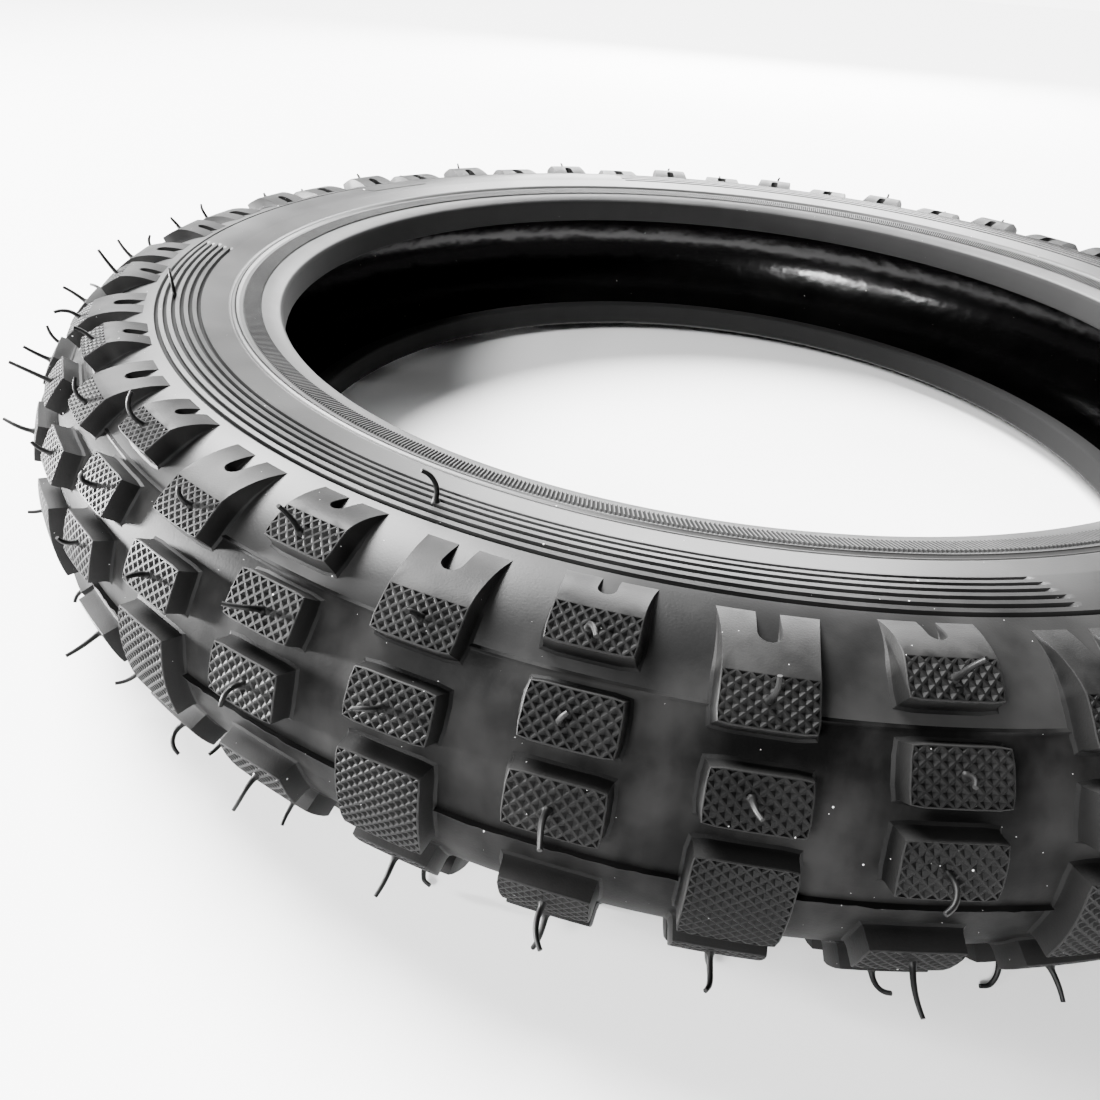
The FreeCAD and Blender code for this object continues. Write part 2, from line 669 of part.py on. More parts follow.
def main():
    doc = FreeCAD.newDocument("tyre")
    make_sheets(doc)
    parts = [
        make_inner_liner(doc),
        make_ply(doc, "carcass_ply_outer", 0),
        make_ply(doc, "carcass_ply_inner", 1),
        make_breaker(doc),
        make_tread_base(doc),
        make_parting_flash(doc),
    ]
    parts += make_tread_knobs(doc)
    for side in RING_DIRECTION:
        parts += make_side(doc, side)
    doc.recompute()
    check_document(doc)
    os.makedirs("parts", exist_ok=True)
    for part in parts:
        check_part(part)
    for part in parts:
        part.Shape.exportStep(f"parts/{part.Label}.step")
        box = part.Shape.BoundBox
        print(f"{part.Label}: {len(part.Shape.Solids)} solids, {part.Shape.Volume:.1f} mm3,"
              f" z {box.ZMin:.2f} to {box.ZMax:.2f}, x to {box.XMax:.2f}")


main()
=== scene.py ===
"""Looks of a small knobby motorcycle tyre that lies flat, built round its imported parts.

The part's own frame is used throughout: metres, +Z along the tyre's axis, and +X through the middle
of a paired knob column. A place on the tyre's section is given by an angle about the section's
centre, measured from the outward radius, or by its run along the flank, measured from the heel of
the bead; a lift is a height above the smooth skin.
"""

import json
import logging
import math
import random
from collections import defaultdict
from collections.abc import Callable, Sequence
from dataclasses import dataclass, field
from enum import Enum

import bmesh
import bpy
from mathutils import Matrix, Vector, noise


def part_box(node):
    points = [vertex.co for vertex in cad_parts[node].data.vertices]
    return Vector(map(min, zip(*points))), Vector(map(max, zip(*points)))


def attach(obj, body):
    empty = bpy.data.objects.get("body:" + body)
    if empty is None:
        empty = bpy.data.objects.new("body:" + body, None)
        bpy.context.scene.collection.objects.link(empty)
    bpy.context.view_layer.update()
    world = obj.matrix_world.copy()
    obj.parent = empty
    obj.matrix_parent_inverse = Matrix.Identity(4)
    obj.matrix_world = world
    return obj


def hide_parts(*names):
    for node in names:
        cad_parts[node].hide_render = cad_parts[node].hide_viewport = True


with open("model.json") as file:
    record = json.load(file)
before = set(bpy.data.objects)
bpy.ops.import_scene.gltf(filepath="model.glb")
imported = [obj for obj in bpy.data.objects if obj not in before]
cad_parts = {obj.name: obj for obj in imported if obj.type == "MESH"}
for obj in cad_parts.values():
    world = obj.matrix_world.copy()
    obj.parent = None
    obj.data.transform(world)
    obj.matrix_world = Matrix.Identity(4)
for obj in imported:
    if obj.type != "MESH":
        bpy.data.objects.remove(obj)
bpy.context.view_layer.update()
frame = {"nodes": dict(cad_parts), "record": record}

MM = 0.001
LOG = logging.getLogger("tyre")
BODY = "root"
COLUMNS = 22
PITCH = math.tau / COLUMNS
TURN_STEPS = 360
SECTORS = 24
TINY = 1e-9
Colour = tuple[float, float, float]
Point = tuple[float, float]


class Side(Enum):
    """The two sides of the tyre, each with the sign of its height over the mid-plane."""

    UPPER = 1
    LOWER = -1

    def name_of(self, piece: str) -> str:
        """A piece's name, which ends with the side."""
        return f"{piece}_{self.name.lower()}"


class Column(Enum):
    """The two kinds of knob column, each with its place as a share of the pitch between columns."""

    PAIRED = 0.0
    BLOCK = 0.5


# ---------------------------------------------------------------------------------------------
# The tyre's shape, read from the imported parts
# ---------------------------------------------------------------------------------------------


@dataclass(frozen=True)
class Section:
    """The tyre's section, in metres: a round casing that runs straight into the bead faces."""

    middle: float
    seat_radius: float
    face_end: Point
    tread_reach: float
    skin: float = 30.5 * MM
    knob_height: float = 3.8 * MM
    tread_gauge: float = 3.0 * MM
    plies: float = 1.6 * MM
    liner: float = 0.8 * MM
    chafer_run: float = 7.0 * MM
    heel_drop: float = 1.6 * MM
    bead_core: float = 2.2 * MM
    bead_gauge: float = 0.9 * MM
    face_gauge: float = 0.7 * MM
    tread_edge: float = 50.0

    @classmethod
    def from_parts(cls) -> "Section":
        """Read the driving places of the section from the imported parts.

        Returns:
            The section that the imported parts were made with.
        """
        low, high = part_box("tread_base")
        _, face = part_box("chafer_upper")
        middle = (low.z + high.z) / 2
        seat = frame["record"]["mounts"][0]["dims"]["r_mm"] * MM
        return cls(middle, seat, (face.x, face.z - middle), high.x)

    @property
    def centre(self) -> float:
        """Radius from the axis to the section's centre."""
        return self.tread_reach - self.skin

    @property
    def crown(self) -> float:
        """Section radius over the knobs."""
        return self.skin + self.knob_height

    @property
    def casing(self) -> float:
        """Section radius of the outer ply."""
        return self.skin - self.tread_gauge

    @property
    def face_angle(self) -> float:
        """Direction that the bead face looks in, in radians: it is tangent to the skin."""
        across, height = self.centre - self.face_end[0], self.face_end[1]
        return math.pi - math.atan2(height, across) - math.acos(self.skin / math.hypot(across, height))

    @property
    def heel(self) -> Point:
        """Radius and height of the bead's heel."""
        return self.on_face(-self.chafer_run, 0.0, self.face_end)

    @property
    def face_length(self) -> float:
        """Length of the straight face from the heel to where the round skin starts."""
        radius = self.centre + self.skin * math.cos(self.face_angle)
        return (radius - self.heel[0]) / math.sin(self.face_angle)

    @property
    def bead(self) -> Point:
        """Radius and height of the middle of the bead bundle."""
        wrap = self.bead_core + self.plies
        return (self.seat_radius + wrap + self.bead_gauge, self.heel[1] - wrap - self.face_gauge)

    @property
    def wrap_angle(self) -> float:
        """Section angle, in radians, where the plies leave the casing towards the bead."""
        across, height = self.centre - self.bead[0], self.bead[1]
        reach = math.hypot(across, height)
        return math.pi - math.atan2(height, across) - math.acos((self.casing + self.bead_core) / reach)

    def on_face(self, run: float, lift: float, start: Point) -> Point:
        """A place on the bead face's plane, up from a start and out by a lift.

        Args:
            run: distance along the face, away from the axis.
            lift: distance out of the face.
            start: radius and height of the start.

        Returns:
            Radius and height of the place.
        """
        along = (math.sin(self.face_angle), -math.cos(self.face_angle))
        return (start[0] + run * along[0] - lift * along[1], start[1] + run * along[1] + lift * along[0])

    def round(self, radius: float, angle: float) -> Point:
        """A place by its section radius and its angle in radians, as radius and height."""
        return (self.centre + radius * math.cos(angle), radius * math.sin(angle))

    def by_bead(self, radius: float, angle: float) -> Point:
        """A place round the bead bundle, as radius and height."""
        return (self.bead[0] + radius * math.cos(angle), self.bead[1] + radius * math.sin(angle))

    def flank(self, run: float, lift: float = 0.0) -> Point:
        """A place on the flank by its run from the heel and its lift over the skin.

        Args:
            run: distance from the heel along the face and then round the skin.
            lift: height over the skin.

        Returns:
            Radius and height of the place.
        """
        beyond = run - self.face_length
        if beyond <= 0:
            return self.on_face(run, lift, self.heel)
        return self.round(self.skin + lift, self.face_angle - beyond / self.skin)

    def run_at_angle(self, degrees: float) -> float:
        """The run from the heel to a section angle on the round skin."""
        return self.face_length + (self.face_angle - math.radians(degrees)) * self.skin

    def run_at_radius(self, radius: float) -> float:
        """The run from the heel to a radius from the axis, on the flank."""
        share = (radius - self.centre) / self.skin
        if math.acos(share) > self.face_angle:
            return (radius - self.heel[0]) / math.sin(self.face_angle)
        return self.run_at_angle(math.degrees(math.acos(share)))

    def turned(self, place: Point, azimuth: float, side: Side) -> Vector:
        """A place on the section, turned about the axis to an azimuth in radians, on one side."""
        radius, height = place
        return Vector((radius * math.cos(azimuth), radius * math.sin(azimuth),
                       self.middle + side.value * height))


def arc(radius: float, start: float, end: float, steps: int,
        place: Callable[[float, float], Point]) -> list[Point]:
    """Places along an arc.

    Args:
        radius: radius of the arc.
        start: first angle in radians.
        end: last angle in radians.
        steps: number of steps between them.
        place: what turns a radius and an angle into a place.

    Returns:
        The places, both ends included.
    """
    return [place(radius, start + (end - start) * step / steps) for step in range(steps + 1)]


# ---------------------------------------------------------------------------------------------
# Mesh helpers
# ---------------------------------------------------------------------------------------------


def spin_outline(outline: Sequence[Point], steps: int, angle: float = math.tau,
                 start: float = 0.0) -> bmesh.types.BMesh:
    """Turn a closed outline about the tyre's axis.

    Args:
        outline: corners as radius and height, without the last repeating the first.
        steps: steps of the turn.
        angle: how far it turns, in radians; a whole turn is closed on itself.
        start: azimuth of the first outline, in radians.

    Returns:
        The turned mesh, with open ends if the turn isn't whole.
    """
    bm = bmesh.new()
    corners = [bm.verts.new((radius, 0.0, height)) for radius, height in outline]
    sides = [bm.edges.new((corners[index - 1], corners[index])) for index in range(len(corners))]
    bmesh.ops.rotate(bm, verts=corners, cent=(0, 0, 0), matrix=Matrix.Rotation(start, 3, "Z"))
    if angle == math.tau:
        return turn_by_sectors(bm, steps)
    bmesh.ops.spin(bm, geom=corners + sides, axis=(0, 0, 1), cent=(0, 0, 0), angle=angle, steps=steps)
    bmesh.ops.holes_fill(bm, edges=[edge for edge in bm.edges if edge.is_boundary], sides=0)
    bmesh.ops.recalc_face_normals(bm, faces=bm.faces[:])
    return bm


def turn_by_sectors(bm: bmesh.types.BMesh, steps: int) -> bmesh.types.BMesh:
    """Turn a wire outline a whole turn: one sector is spun, and its copies are joined round the axis.

    Args:
        bm: the wire outline; it is freed.
        steps: steps of the whole turn, a multiple of the sectors.

    Returns:
        The closed mesh.
    """
    bmesh.ops.spin(bm, geom=bm.verts[:] + bm.edges[:], axis=(0, 0, 1), cent=(0, 0, 0),
                   angle=math.tau / SECTORS, steps=steps // SECTORS)
    sector = bpy.data.meshes.new("sector")
    bm.to_mesh(sector)
    bm.free()
    whole = bmesh.new()
    for _ in range(SECTORS):
        sector.transform(Matrix.Rotation(math.tau / SECTORS, 4, "Z"))
        whole.from_mesh(sector)
    bpy.data.meshes.remove(sector)
    bmesh.ops.remove_doubles(whole, verts=whole.verts[:], dist=0.002 * MM)
    bmesh.ops.recalc_face_normals(whole, faces=whole.faces[:])
    return whole


def put_on_side(bm: bmesh.types.BMesh, section: Section, side: Side) -> None:
    """Move a mesh whose heights are over the mid-plane to its side of the tyre.

    Args:
        bm: the mesh.
        section: the tyre's section.
        side: the side it belongs to.
    """
    if side is Side.LOWER:
        bmesh.ops.scale(bm, vec=(1, 1, -1), verts=bm.verts[:])
    bmesh.ops.translate(bm, vec=(0, 0, section.middle), verts=bm.verts[:])
    bmesh.ops.recalc_face_normals(bm, faces=bm.faces[:])


def soften(bm: bmesh.types.BMesh, degrees: float) -> None:
    """Shade smoothly, but keep edges that turn by more than an angle crisp."""
    limit = math.radians(degrees)
    for face in bm.faces:
        face.smooth = True
    for edge in bm.edges:
        edge.smooth = len(edge.link_faces) == 2 and edge.calc_face_angle(0.0) < limit


def ways_out(rim: Sequence[bmesh.types.BMEdge]) -> dict[bmesh.types.BMVert, Vector]:
    """Directions that lead square out of a flat sheet at its rim, mitred at its corners.

    Args:
        rim: the sheet's open edges.

    Returns:
        For each corner of the rim, how far it moves for a rim moved out by one.
    """
    sums: dict[bmesh.types.BMVert, Vector] = defaultdict(Vector)
    for edge in rim:
        first, last = (vert.co for vert in edge.verts)
        way = Vector((last.y - first.y, first.x - last.x, 0.0)).normalized()
        inside = edge.link_faces[0].calc_center_median() - (first + last) / 2
        if way.dot(inside) > 0:
            way.negate()
        for vert in edge.verts:
            sums[vert] += way
    return {vert: way * (2.0 / max(way.length_squared, 1.0)) for vert, way in sums.items()}


def add_mesh(whole: bmesh.types.BMesh, part: bmesh.types.BMesh) -> None:
    """Add a part to a whole and free the part."""
    carrier = bpy.data.meshes.new("carrier")
    part.to_mesh(carrier)
    part.free()
    whole.from_mesh(carrier)
    bpy.data.meshes.remove(carrier)


def move_radially(vert: bmesh.types.BMVert, factor: float, rise: float) -> None:
    """Scale a corner's distance from the axis, and raise it."""
    vert.co = Vector((vert.co.x * factor, vert.co.y * factor, vert.co.z + rise))


def close_below(bm: bmesh.types.BMesh, depth: float, draft: float) -> None:
    """Give a raised flat mark its drafted sides and an underside sunk in the skin.

    Args:
        bm: the mark's open top.
        depth: how deep the underside lies below nought.
        draft: how far the sides lean out.
    """
    rim = [edge for edge in bm.edges if edge.is_boundary]
    ways = ways_out(rim)
    made = bmesh.ops.extrude_edge_only(bm, edges=rim)["geom"]
    for vert in (item for item in made if isinstance(item, bmesh.types.BMVert)):
        near = next(edge.other_vert(vert) for edge in vert.link_edges if edge.other_vert(vert) in ways)
        vert.co = near.co + ways[near] * draft
        vert.co.z = -depth
    bmesh.ops.holes_fill(bm, edges=[edge for edge in bm.edges if edge.is_boundary], sides=0)


def link_new(name: str, content: bpy.types.ID) -> bpy.types.Object:
    """Make an object from a mesh, light or camera, and put it in the scene."""
    thing = bpy.data.objects.new(name, content)
    bpy.context.scene.collection.objects.link(thing)
    return thing


class Workshop:
    """Turns finished meshes into pieces that ride on the tyre, and keeps count of them."""

    def __init__(self) -> None:
        """Start with nothing made."""
        self.triangles = 0

    def piece(self, bm: bmesh.types.BMesh, name: str, material: bpy.types.Material, slot: str,
              stands_for: Sequence[str], crisp: float) -> None:
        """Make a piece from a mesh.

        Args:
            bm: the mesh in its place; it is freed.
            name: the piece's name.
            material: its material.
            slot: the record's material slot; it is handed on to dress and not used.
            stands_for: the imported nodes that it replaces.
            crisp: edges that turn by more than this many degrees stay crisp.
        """
        soften(bm, crisp)
        mesh = bpy.data.meshes.new(name)
        bm.to_mesh(mesh)
        bm.free()
        self.dress(mesh, name, material, slot, stands_for)

    def dress(self, mesh: bpy.types.Mesh, name: str, material: bpy.types.Material, slot: str,
              stands_for: Sequence[str]) -> None:
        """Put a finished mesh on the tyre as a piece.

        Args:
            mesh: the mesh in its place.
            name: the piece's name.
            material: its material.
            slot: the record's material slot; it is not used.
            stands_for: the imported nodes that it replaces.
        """
        thing = link_new(name, mesh)
        mesh.materials.clear()
        mesh.materials.append(material)
        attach(thing, BODY)
        if stands_for:
            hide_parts(*stands_for)
        count = sum(len(polygon.vertices) - 2 for polygon in mesh.polygons)
        self.triangles += count
        LOG.info("%s: %d triangles", name, count)


# ---------------------------------------------------------------------------------------------
# Materials
# ---------------------------------------------------------------------------------------------


class Wire:
    """A shader socket that works in Python sums: each operator adds its Math node."""

    def __init__(self, paint: "Paint", socket: bpy.types.NodeSocket) -> None:
        """Keep the socket with the paint that it belongs to."""
        self.paint = paint
        self.socket = socket

    def maths(self, operation: str, *values: "Wire | float") -> "Wire":
        """The result of one Math node on values."""
        return self.paint.node("ShaderNodeMath", {"operation": operation}, dict(enumerate(values)))

    def __add__(self, other: "Wire | float") -> "Wire":
        """The sum."""
        return self.maths("ADD", self, other)

    def __radd__(self, other: float) -> "Wire":
        """The sum, with the number first."""
        return self.maths("ADD", other, self)

    def __sub__(self, other: "Wire | float") -> "Wire":
        """The difference."""
        return self.maths("SUBTRACT", self, other)

    def __rsub__(self, other: float) -> "Wire":
        """The difference, with the number first."""
        return self.maths("SUBTRACT", other, self)

    def __mul__(self, other: "Wire | float") -> "Wire":
        """The product."""
        return self.maths("MULTIPLY", self, other)

    def __rmul__(self, other: float) -> "Wire":
        """The product, with the number first."""
        return self.maths("MULTIPLY", other, self)

    def __gt__(self, other: "Wire | float") -> "Wire":
        """One where this is above the other, and nought elsewhere."""
        return self.maths("GREATER_THAN", self, other)

    def __lt__(self, other: "Wire | float") -> "Wire":
        """One where this is below the other, and nought elsewhere."""
        return self.maths("LESS_THAN", self, other)

    def sine(self) -> "Wire":
        """The sine of this, in radians."""
        return self.maths("SINE", self)

    def ramp(self, low: float, high: float) -> "Wire":
        """Nought below low, one above high, and a smooth rise between them."""
        return self.paint.node("ShaderNodeMapRange", {"interpolation_type": "SMOOTHSTEP"},
                               {"Value": self, "From Min": low, "From Max": high})


class Paint:
    """One node material while it is put together."""

    def __init__(self, name: str) -> None:
        """Start a material with its own principled shader."""
        self.material = bpy.data.materials.new(name)
        self.material.use_nodes = True
        self.tree = self.material.node_tree
        self.shader = self.tree.nodes["Principled BSDF"]
        self.place = self.node("ShaderNodeTexCoord", output="Object")

    def node(self, kind: str, settings: dict | None = None, inputs: dict | None = None,
             output: int | str = 0) -> Wire:
        """Add a node.

        Args:
            kind: the node's type.
            settings: its own settings, which are made first.
            inputs: values or wires for its sockets, by name or number.
            output: which of its outputs is wanted.

        Returns:
            A wire from that output.
        """
        made = self.tree.nodes.new(kind)
        for name, value in (settings or {}).items():
            setattr(made, name, value)
        for key, value in (inputs or {}).items():
            self.feed(made.inputs[key], value)
        return Wire(self, made.outputs[output])

    def feed(self, socket: bpy.types.NodeSocket, value: "Wire | float | Sequence[float]") -> None:
        """Give a socket a wire or a constant; a colour gets its alpha."""
        if isinstance(value, Wire):
            self.tree.links.new(value.socket, socket)
        elif socket.type == "RGBA" and len(value) == 3:
            socket.default_value = (*value, 1.0)
        else:
            socket.default_value = value

    def grain(self, size: float, detail: float = 3.0, stretch: Sequence[float] = (1, 1, 1)) -> Wire:
        """Soft noise from nought to one whose features have a size in metres."""
        place = self.node("ShaderNodeMapping", {}, {"Vector": self.place, "Scale": tuple(stretch)})
        return self.node("ShaderNodeTexNoise", {}, {"Vector": place, "Scale": 1.0 / size, "Detail": detail})

    def attribute(self, name: str) -> Wire:
        """A value that the mesh's own corners carry, and nought where they carry none."""
        return self.node("ShaderNodeAttribute", {"attribute_name": name}, output="Fac")

    def specks(self, spacing: float, radius: float, share: float) -> Wire:
        """One inside small round specks and nought elsewhere.

        Args:
            spacing: distance between the places where a speck may be, in metres.
            radius: radius of a speck, in metres.
            share: the share of those places that has a speck.

        Returns:
            The mask.
        """
        sockets = {"Vector": self.place, "Scale": 1.0 / spacing}
        near = self.node("ShaderNodeTexVoronoi", {}, sockets, "Distance") < radius / spacing
        lot = self.node("ShaderNodeTexVoronoi", {}, sockets, "Color")
        chosen = self.node("ShaderNodeSeparateColor", {}, {"Color": lot}) < share
        return near * chosen

    def mix(self, share: Wire, first: "Wire | Colour", second: "Wire | Colour") -> Wire:
        """A colour between two, by a share from nought to one."""
        return self.node("ShaderNodeMix", {"data_type": "RGBA"}, {0: share, 6: first, 7: second}, 2)

    def bump(self, height: Wire, strength: float = 1.0) -> Wire:
        """A bumped normal from a height in metres."""
        return self.node("ShaderNodeBump", {}, {"Height": height, "Strength": strength, "Distance": 1.0})

    def finish(self, sockets: dict) -> bpy.types.Material:
        """Feed the shader and hand over the material.

        Args:
            sockets: values or wires by the name of the shader's socket.

        Returns:
            The finished material.
        """
        for name, value in sockets.items():
            self.feed(self.shader.inputs[name], value)
        return self.material


def grey(level: float, warmth: float = 0.0) -> Colour:
    """A grey, a little warm or cold."""
    return (level * (1 + warmth), level, level * (1 - warmth))


@dataclass(frozen=True)
class RubberFinish:
    """Black moulded rubber with bloom, mould grain and dust; where the mesh asks for them, a lighter colour
    (painted sheen on knob edges) and painted shade in hollows.
    """

    name: str
    black: float
    bloom: float
    bloom_size: float
    roughness: float
    gloss_spread: float
    grain_size: float
    grain_depth: float
    dust_share: float
    specular: float = 0.5
    side_black: float = 0.004
    side_bloom: float = 0.022
    wave_depth: float = 0.0
    wave_size: float = 9.0 * MM
    streak_share: float = 0.35
    bloom_from: float = 0.38
    bloom_to: float = 0.68
    warmth: float = 0.01
    # how much lighter than the bloom the painted sheen on knob edges and the sidewall's lighter band are
    wear_gain: float = 2.2
    dust: float = 0.55
    specks: tuple[Point, Point] = ((2.6 * MM, 0.16 * MM), (1.1 * MM, 0.07 * MM))
    # colour of the painted shade on groove floors, rib slits and the bead's seat
    painted_shade_black: float = 0.0006
    dust_height: float = 0.05 * MM

    def paint(self) -> bpy.types.Material:
        """Make the material.

        Returns:
            The finished material.
        """
        paint = Paint(self.name)
        cloud = paint.grain(self.bloom_size, 5.0)
        streak = paint.grain(self.bloom_size * self.streak_share, 3.0, (1.0, 1.0, 0.35))
        fine = paint.grain(self.grain_size, 4.0)
        # masks from the mesh: a lighter colour (painted sheen on knob edges, a lighter band on the
        # sidewall), a buttress's smooth foot, and painted shade in hollows
        lightened, smooth, sunk = (paint.attribute(name) for name in ("wear", "smooth_foot", "sunk"))
        share = (1 - self.streak_share) * cloud + self.streak_share * streak
        share = share.ramp(self.bloom_from, self.bloom_to)
        colour = paint.mix(share, grey(self.black), grey(self.bloom, self.warmth))
        beside = paint.mix(share, grey(self.side_black), grey(self.side_bloom, self.warmth))
        colour = paint.mix(smooth, colour, beside)
        # painted sheen on knob edges, and the sidewall's lighter band: a lighter grey, a little smoother
        colour = paint.mix(lightened * (0.35 + 0.5 * fine), colour,
                           grey(self.bloom * self.wear_gain, self.warmth))
        dust, lint = (paint.specks(*specks, self.dust_share) for specks in self.specks)
        dust = dust.maths("MAXIMUM", dust, lint)
        colour = paint.mix(dust, colour, grey(self.dust))
        # painted shade in hollows: near black, and rougher
        colour = paint.mix(sunk, colour, grey(self.painted_shade_black))
        rough = self.roughness + self.gloss_spread * (cloud - 0.5) + 0.25 * self.gloss_spread * (fine - 0.5)
        rough = rough - lightened * 0.06 - smooth * 0.1 + dust * 0.2 + sunk * 0.5
        height = fine * self.grain_depth + streak * (self.grain_depth * 1.5)
        if self.wave_depth:
            height = height + paint.grain(self.wave_size, 2.0) * self.wave_depth
        height = height + dust * self.dust_height
        return paint.finish({"Base Color": colour, "Roughness": rough, "Normal": paint.bump(height),
                             "Specular IOR Level": self.specular})


@dataclass(frozen=True)
class CordFinish:
    """Rubber-coated cord fabric: fine parallel cords under a thin brown-grey skin."""

    name: str
    cord: Colour
    rubber: Colour
    pitch: float = 0.9 * MM

    def paint(self) -> bpy.types.Material:
        """Make the material.

        Returns:
            The finished material.
        """
        paint = Paint(self.name)
        parts = {"Vector": paint.place}
        east = paint.node("ShaderNodeSeparateXYZ", {}, parts, "X")
        up = paint.node("ShaderNodeSeparateXYZ", {}, parts, "Z")
        turn = math.tau / self.pitch
        ridge = (east * (turn * 0.6) + up * (turn * 0.8)).sine() * 0.5 + 0.5
        stain = paint.grain(4 * MM, 4.0)
        colour = paint.mix(ridge * (0.4 + 0.6 * stain), self.rubber, self.cord)
        rough = 0.62 + 0.2 * (stain - 0.5)
        height = ridge * (0.08 * MM) + stain * (0.03 * MM)
        return paint.finish({"Base Color": colour, "Roughness": rough, "Normal": paint.bump(height)})


@dataclass(frozen=True)
class WireFinish:
    """Bronze-coated drawn steel wire."""

    name: str
    bronze: Colour
    steel: Colour

    def paint(self) -> bpy.types.Material:
        """Make the material.

        Returns:
            The finished material.
        """
        paint = Paint(self.name)
        patch = paint.grain(2.5 * MM, 4.0).ramp(0.4, 0.65)
        scratch = paint.grain(0.12 * MM, 2.0)
        colour = paint.mix(patch, self.bronze, self.steel)
        rough = 0.28 + 0.18 * scratch
        return paint.finish({"Base Color": colour, "Roughness": rough, "Metallic": 1.0,
                             "Normal": paint.bump(scratch * (0.004 * MM))})


@dataclass(frozen=True)
class FloorFinish:
    """A pale, even studio floor."""

    name: str = "studio_floor"
    level: float = 0.86

    def paint(self) -> bpy.types.Material:
        """Make the material.

        Returns:
            The finished material.
        """
        paint = Paint(self.name)
        cloud = paint.grain(60 * MM, 3.0)
        colour = paint.mix(cloud, grey(self.level), grey(self.level * 0.985))
        return paint.finish({"Base Color": colour, "Roughness": 0.9 + 0.05 * cloud,
                             "Specular IOR Level": 0.1})


class Finishes:
    """Every finish of the tyre, painted once."""

    def __init__(self) -> None:
        """Paint them all."""
        self.tread = RubberFinish(
            "tread_rubber", black=0.0018, bloom=0.006, bloom_size=22 * MM, roughness=0.55, gloss_spread=0.2,
            grain_size=0.35 * MM, grain_depth=0.03 * MM, dust_share=0.10, specular=0.07).paint()
        self.base = RubberFinish(
            "base_rubber", black=0.0015, bloom=0.015, bloom_size=20 * MM, roughness=0.5, gloss_spread=0.3,
            grain_size=0.5 * MM, grain_depth=0.025 * MM, dust_share=0.12, specular=0.03).paint()
        self.sidewall = RubberFinish(
            "sidewall_rubber", black=0.003, bloom=0.018, bloom_size=30 * MM, roughness=0.40,
            gloss_spread=0.2, grain_size=0.4 * MM, grain_depth=0.015 * MM, dust_share=0.08,
            specular=0.2).paint()
        self.chafer = RubberFinish(
            "chafer_rubber", black=0.010, bloom=0.026, bloom_size=24 * MM, roughness=0.5,
            gloss_spread=0.18, grain_size=0.3 * MM, grain_depth=0.015 * MM, dust_share=0.03,
            specular=0.3).paint()
        self.hair = RubberFinish(
            "vent_hair_rubber", black=0.002, bloom=0.006, bloom_size=4 * MM, roughness=0.45,
            gloss_spread=0.2, grain_size=0.2 * MM, grain_depth=0.01 * MM, dust_share=0.0,
            specular=0.12).paint()
        self.liner = RubberFinish(
            "liner_rubber", black=0.0008, bloom=0.002, bloom_size=40 * MM, roughness=0.19,
            gloss_spread=0.1, grain_size=0.6 * MM, grain_depth=0.006 * MM, dust_share=0.02,
            specular=0.25, wave_depth=0.35 * MM).paint()
        self.bead = RubberFinish(
            "bead_rubber", black=0.02, bloom=0.05, bloom_size=8 * MM, roughness=0.6, gloss_spread=0.2,
            grain_size=0.4 * MM, grain_depth=0.03 * MM, dust_share=0.0).paint()
        self.cord = CordFinish("ply_cord", (0.36, 0.27, 0.17), (0.035, 0.03, 0.026)).paint()
        self.wire = WireFinish("bead_wire", (0.55, 0.36, 0.18), (0.6, 0.58, 0.55)).paint()


# ---------------------------------------------------------------------------------------------
# Tread
# ---------------------------------------------------------------------------------------------


@dataclass(frozen=True)
class Assembly:
    """What each sub-assembly is built from: the section, the finishes and the workshop."""

    section: Section
    finishes: Finishes
    workshop: Workshop


@dataclass(frozen=True)
class Buttress:
    """The sloping foot of a shoulder knob, with a round-ended pocket that opens to the sidewall."""

    root: float
    flare: float
    pocket_width: float
    pocket_tip: float
    side_steps: int = 7
    across_steps: int = 3
    flare_power: float = 1.6
    fall_power: float = 1.18


@dataclass(frozen=True)
class KnobRow:
    """One ring of equal knobs: its lower and upper edge on the section, in degrees."""

    name: str
    low: float
    high: float
    column: Column
    buttress: Buttress | None = None


@dataclass(frozen=True)
class KnobShape:
    """The form that all knobs share: knurled top, drafted walls and a rounded foot."""

    width_angle: float = 4.35
    cell: float = 1.95 * MM
    ridge: float = 0.13 * MM
    pit: float = 0.42 * MM
    chamfer: float = 0.14 * MM
    draft: float = 0.3 * MM
    foot: float = 0.75 * MM
    sink: float = 0.5 * MM
    least_height: float = 0.03 * MM
    corner: float = 0.8 * MM
    # how much painted sheen the knob's top edge gets; its chamfer gets all of it
    rim_wear: float = 0.8
    draft_power: float = 1.5

    def wall_steps(self) -> list[Point]:
        """How the wall goes down: distance out, and share of the height that is left."""
        wall = self.chamfer + self.draft
        return [(self.chamfer, 0.965), (wall, 0.24), (wall + self.foot * 0.3, 0.08), (wall + self.foot, 0.0)]


@dataclass(frozen=True)
class Fin:
    """The thin, torn fin that the mould's joint left, with its sizes at the root and the tip."""

    half_root: float = 0.22 * MM
    half_tip: float = 0.05 * MM
    height: float = 1.0 * MM
    lean: float = 0.3 * MM
    end_gap: float = 0.6
    steps: int = 30
    tears: tuple[Point, ...] = ((450.0, 0.28), (1900.0, 0.16))

    def torn(self, place: Vector) -> float:
        """How much the edge stands out or is torn away at a place, as a share of the height."""
        return sum(noise.noise(place * per_metre) * share for per_metre, share in self.tears)


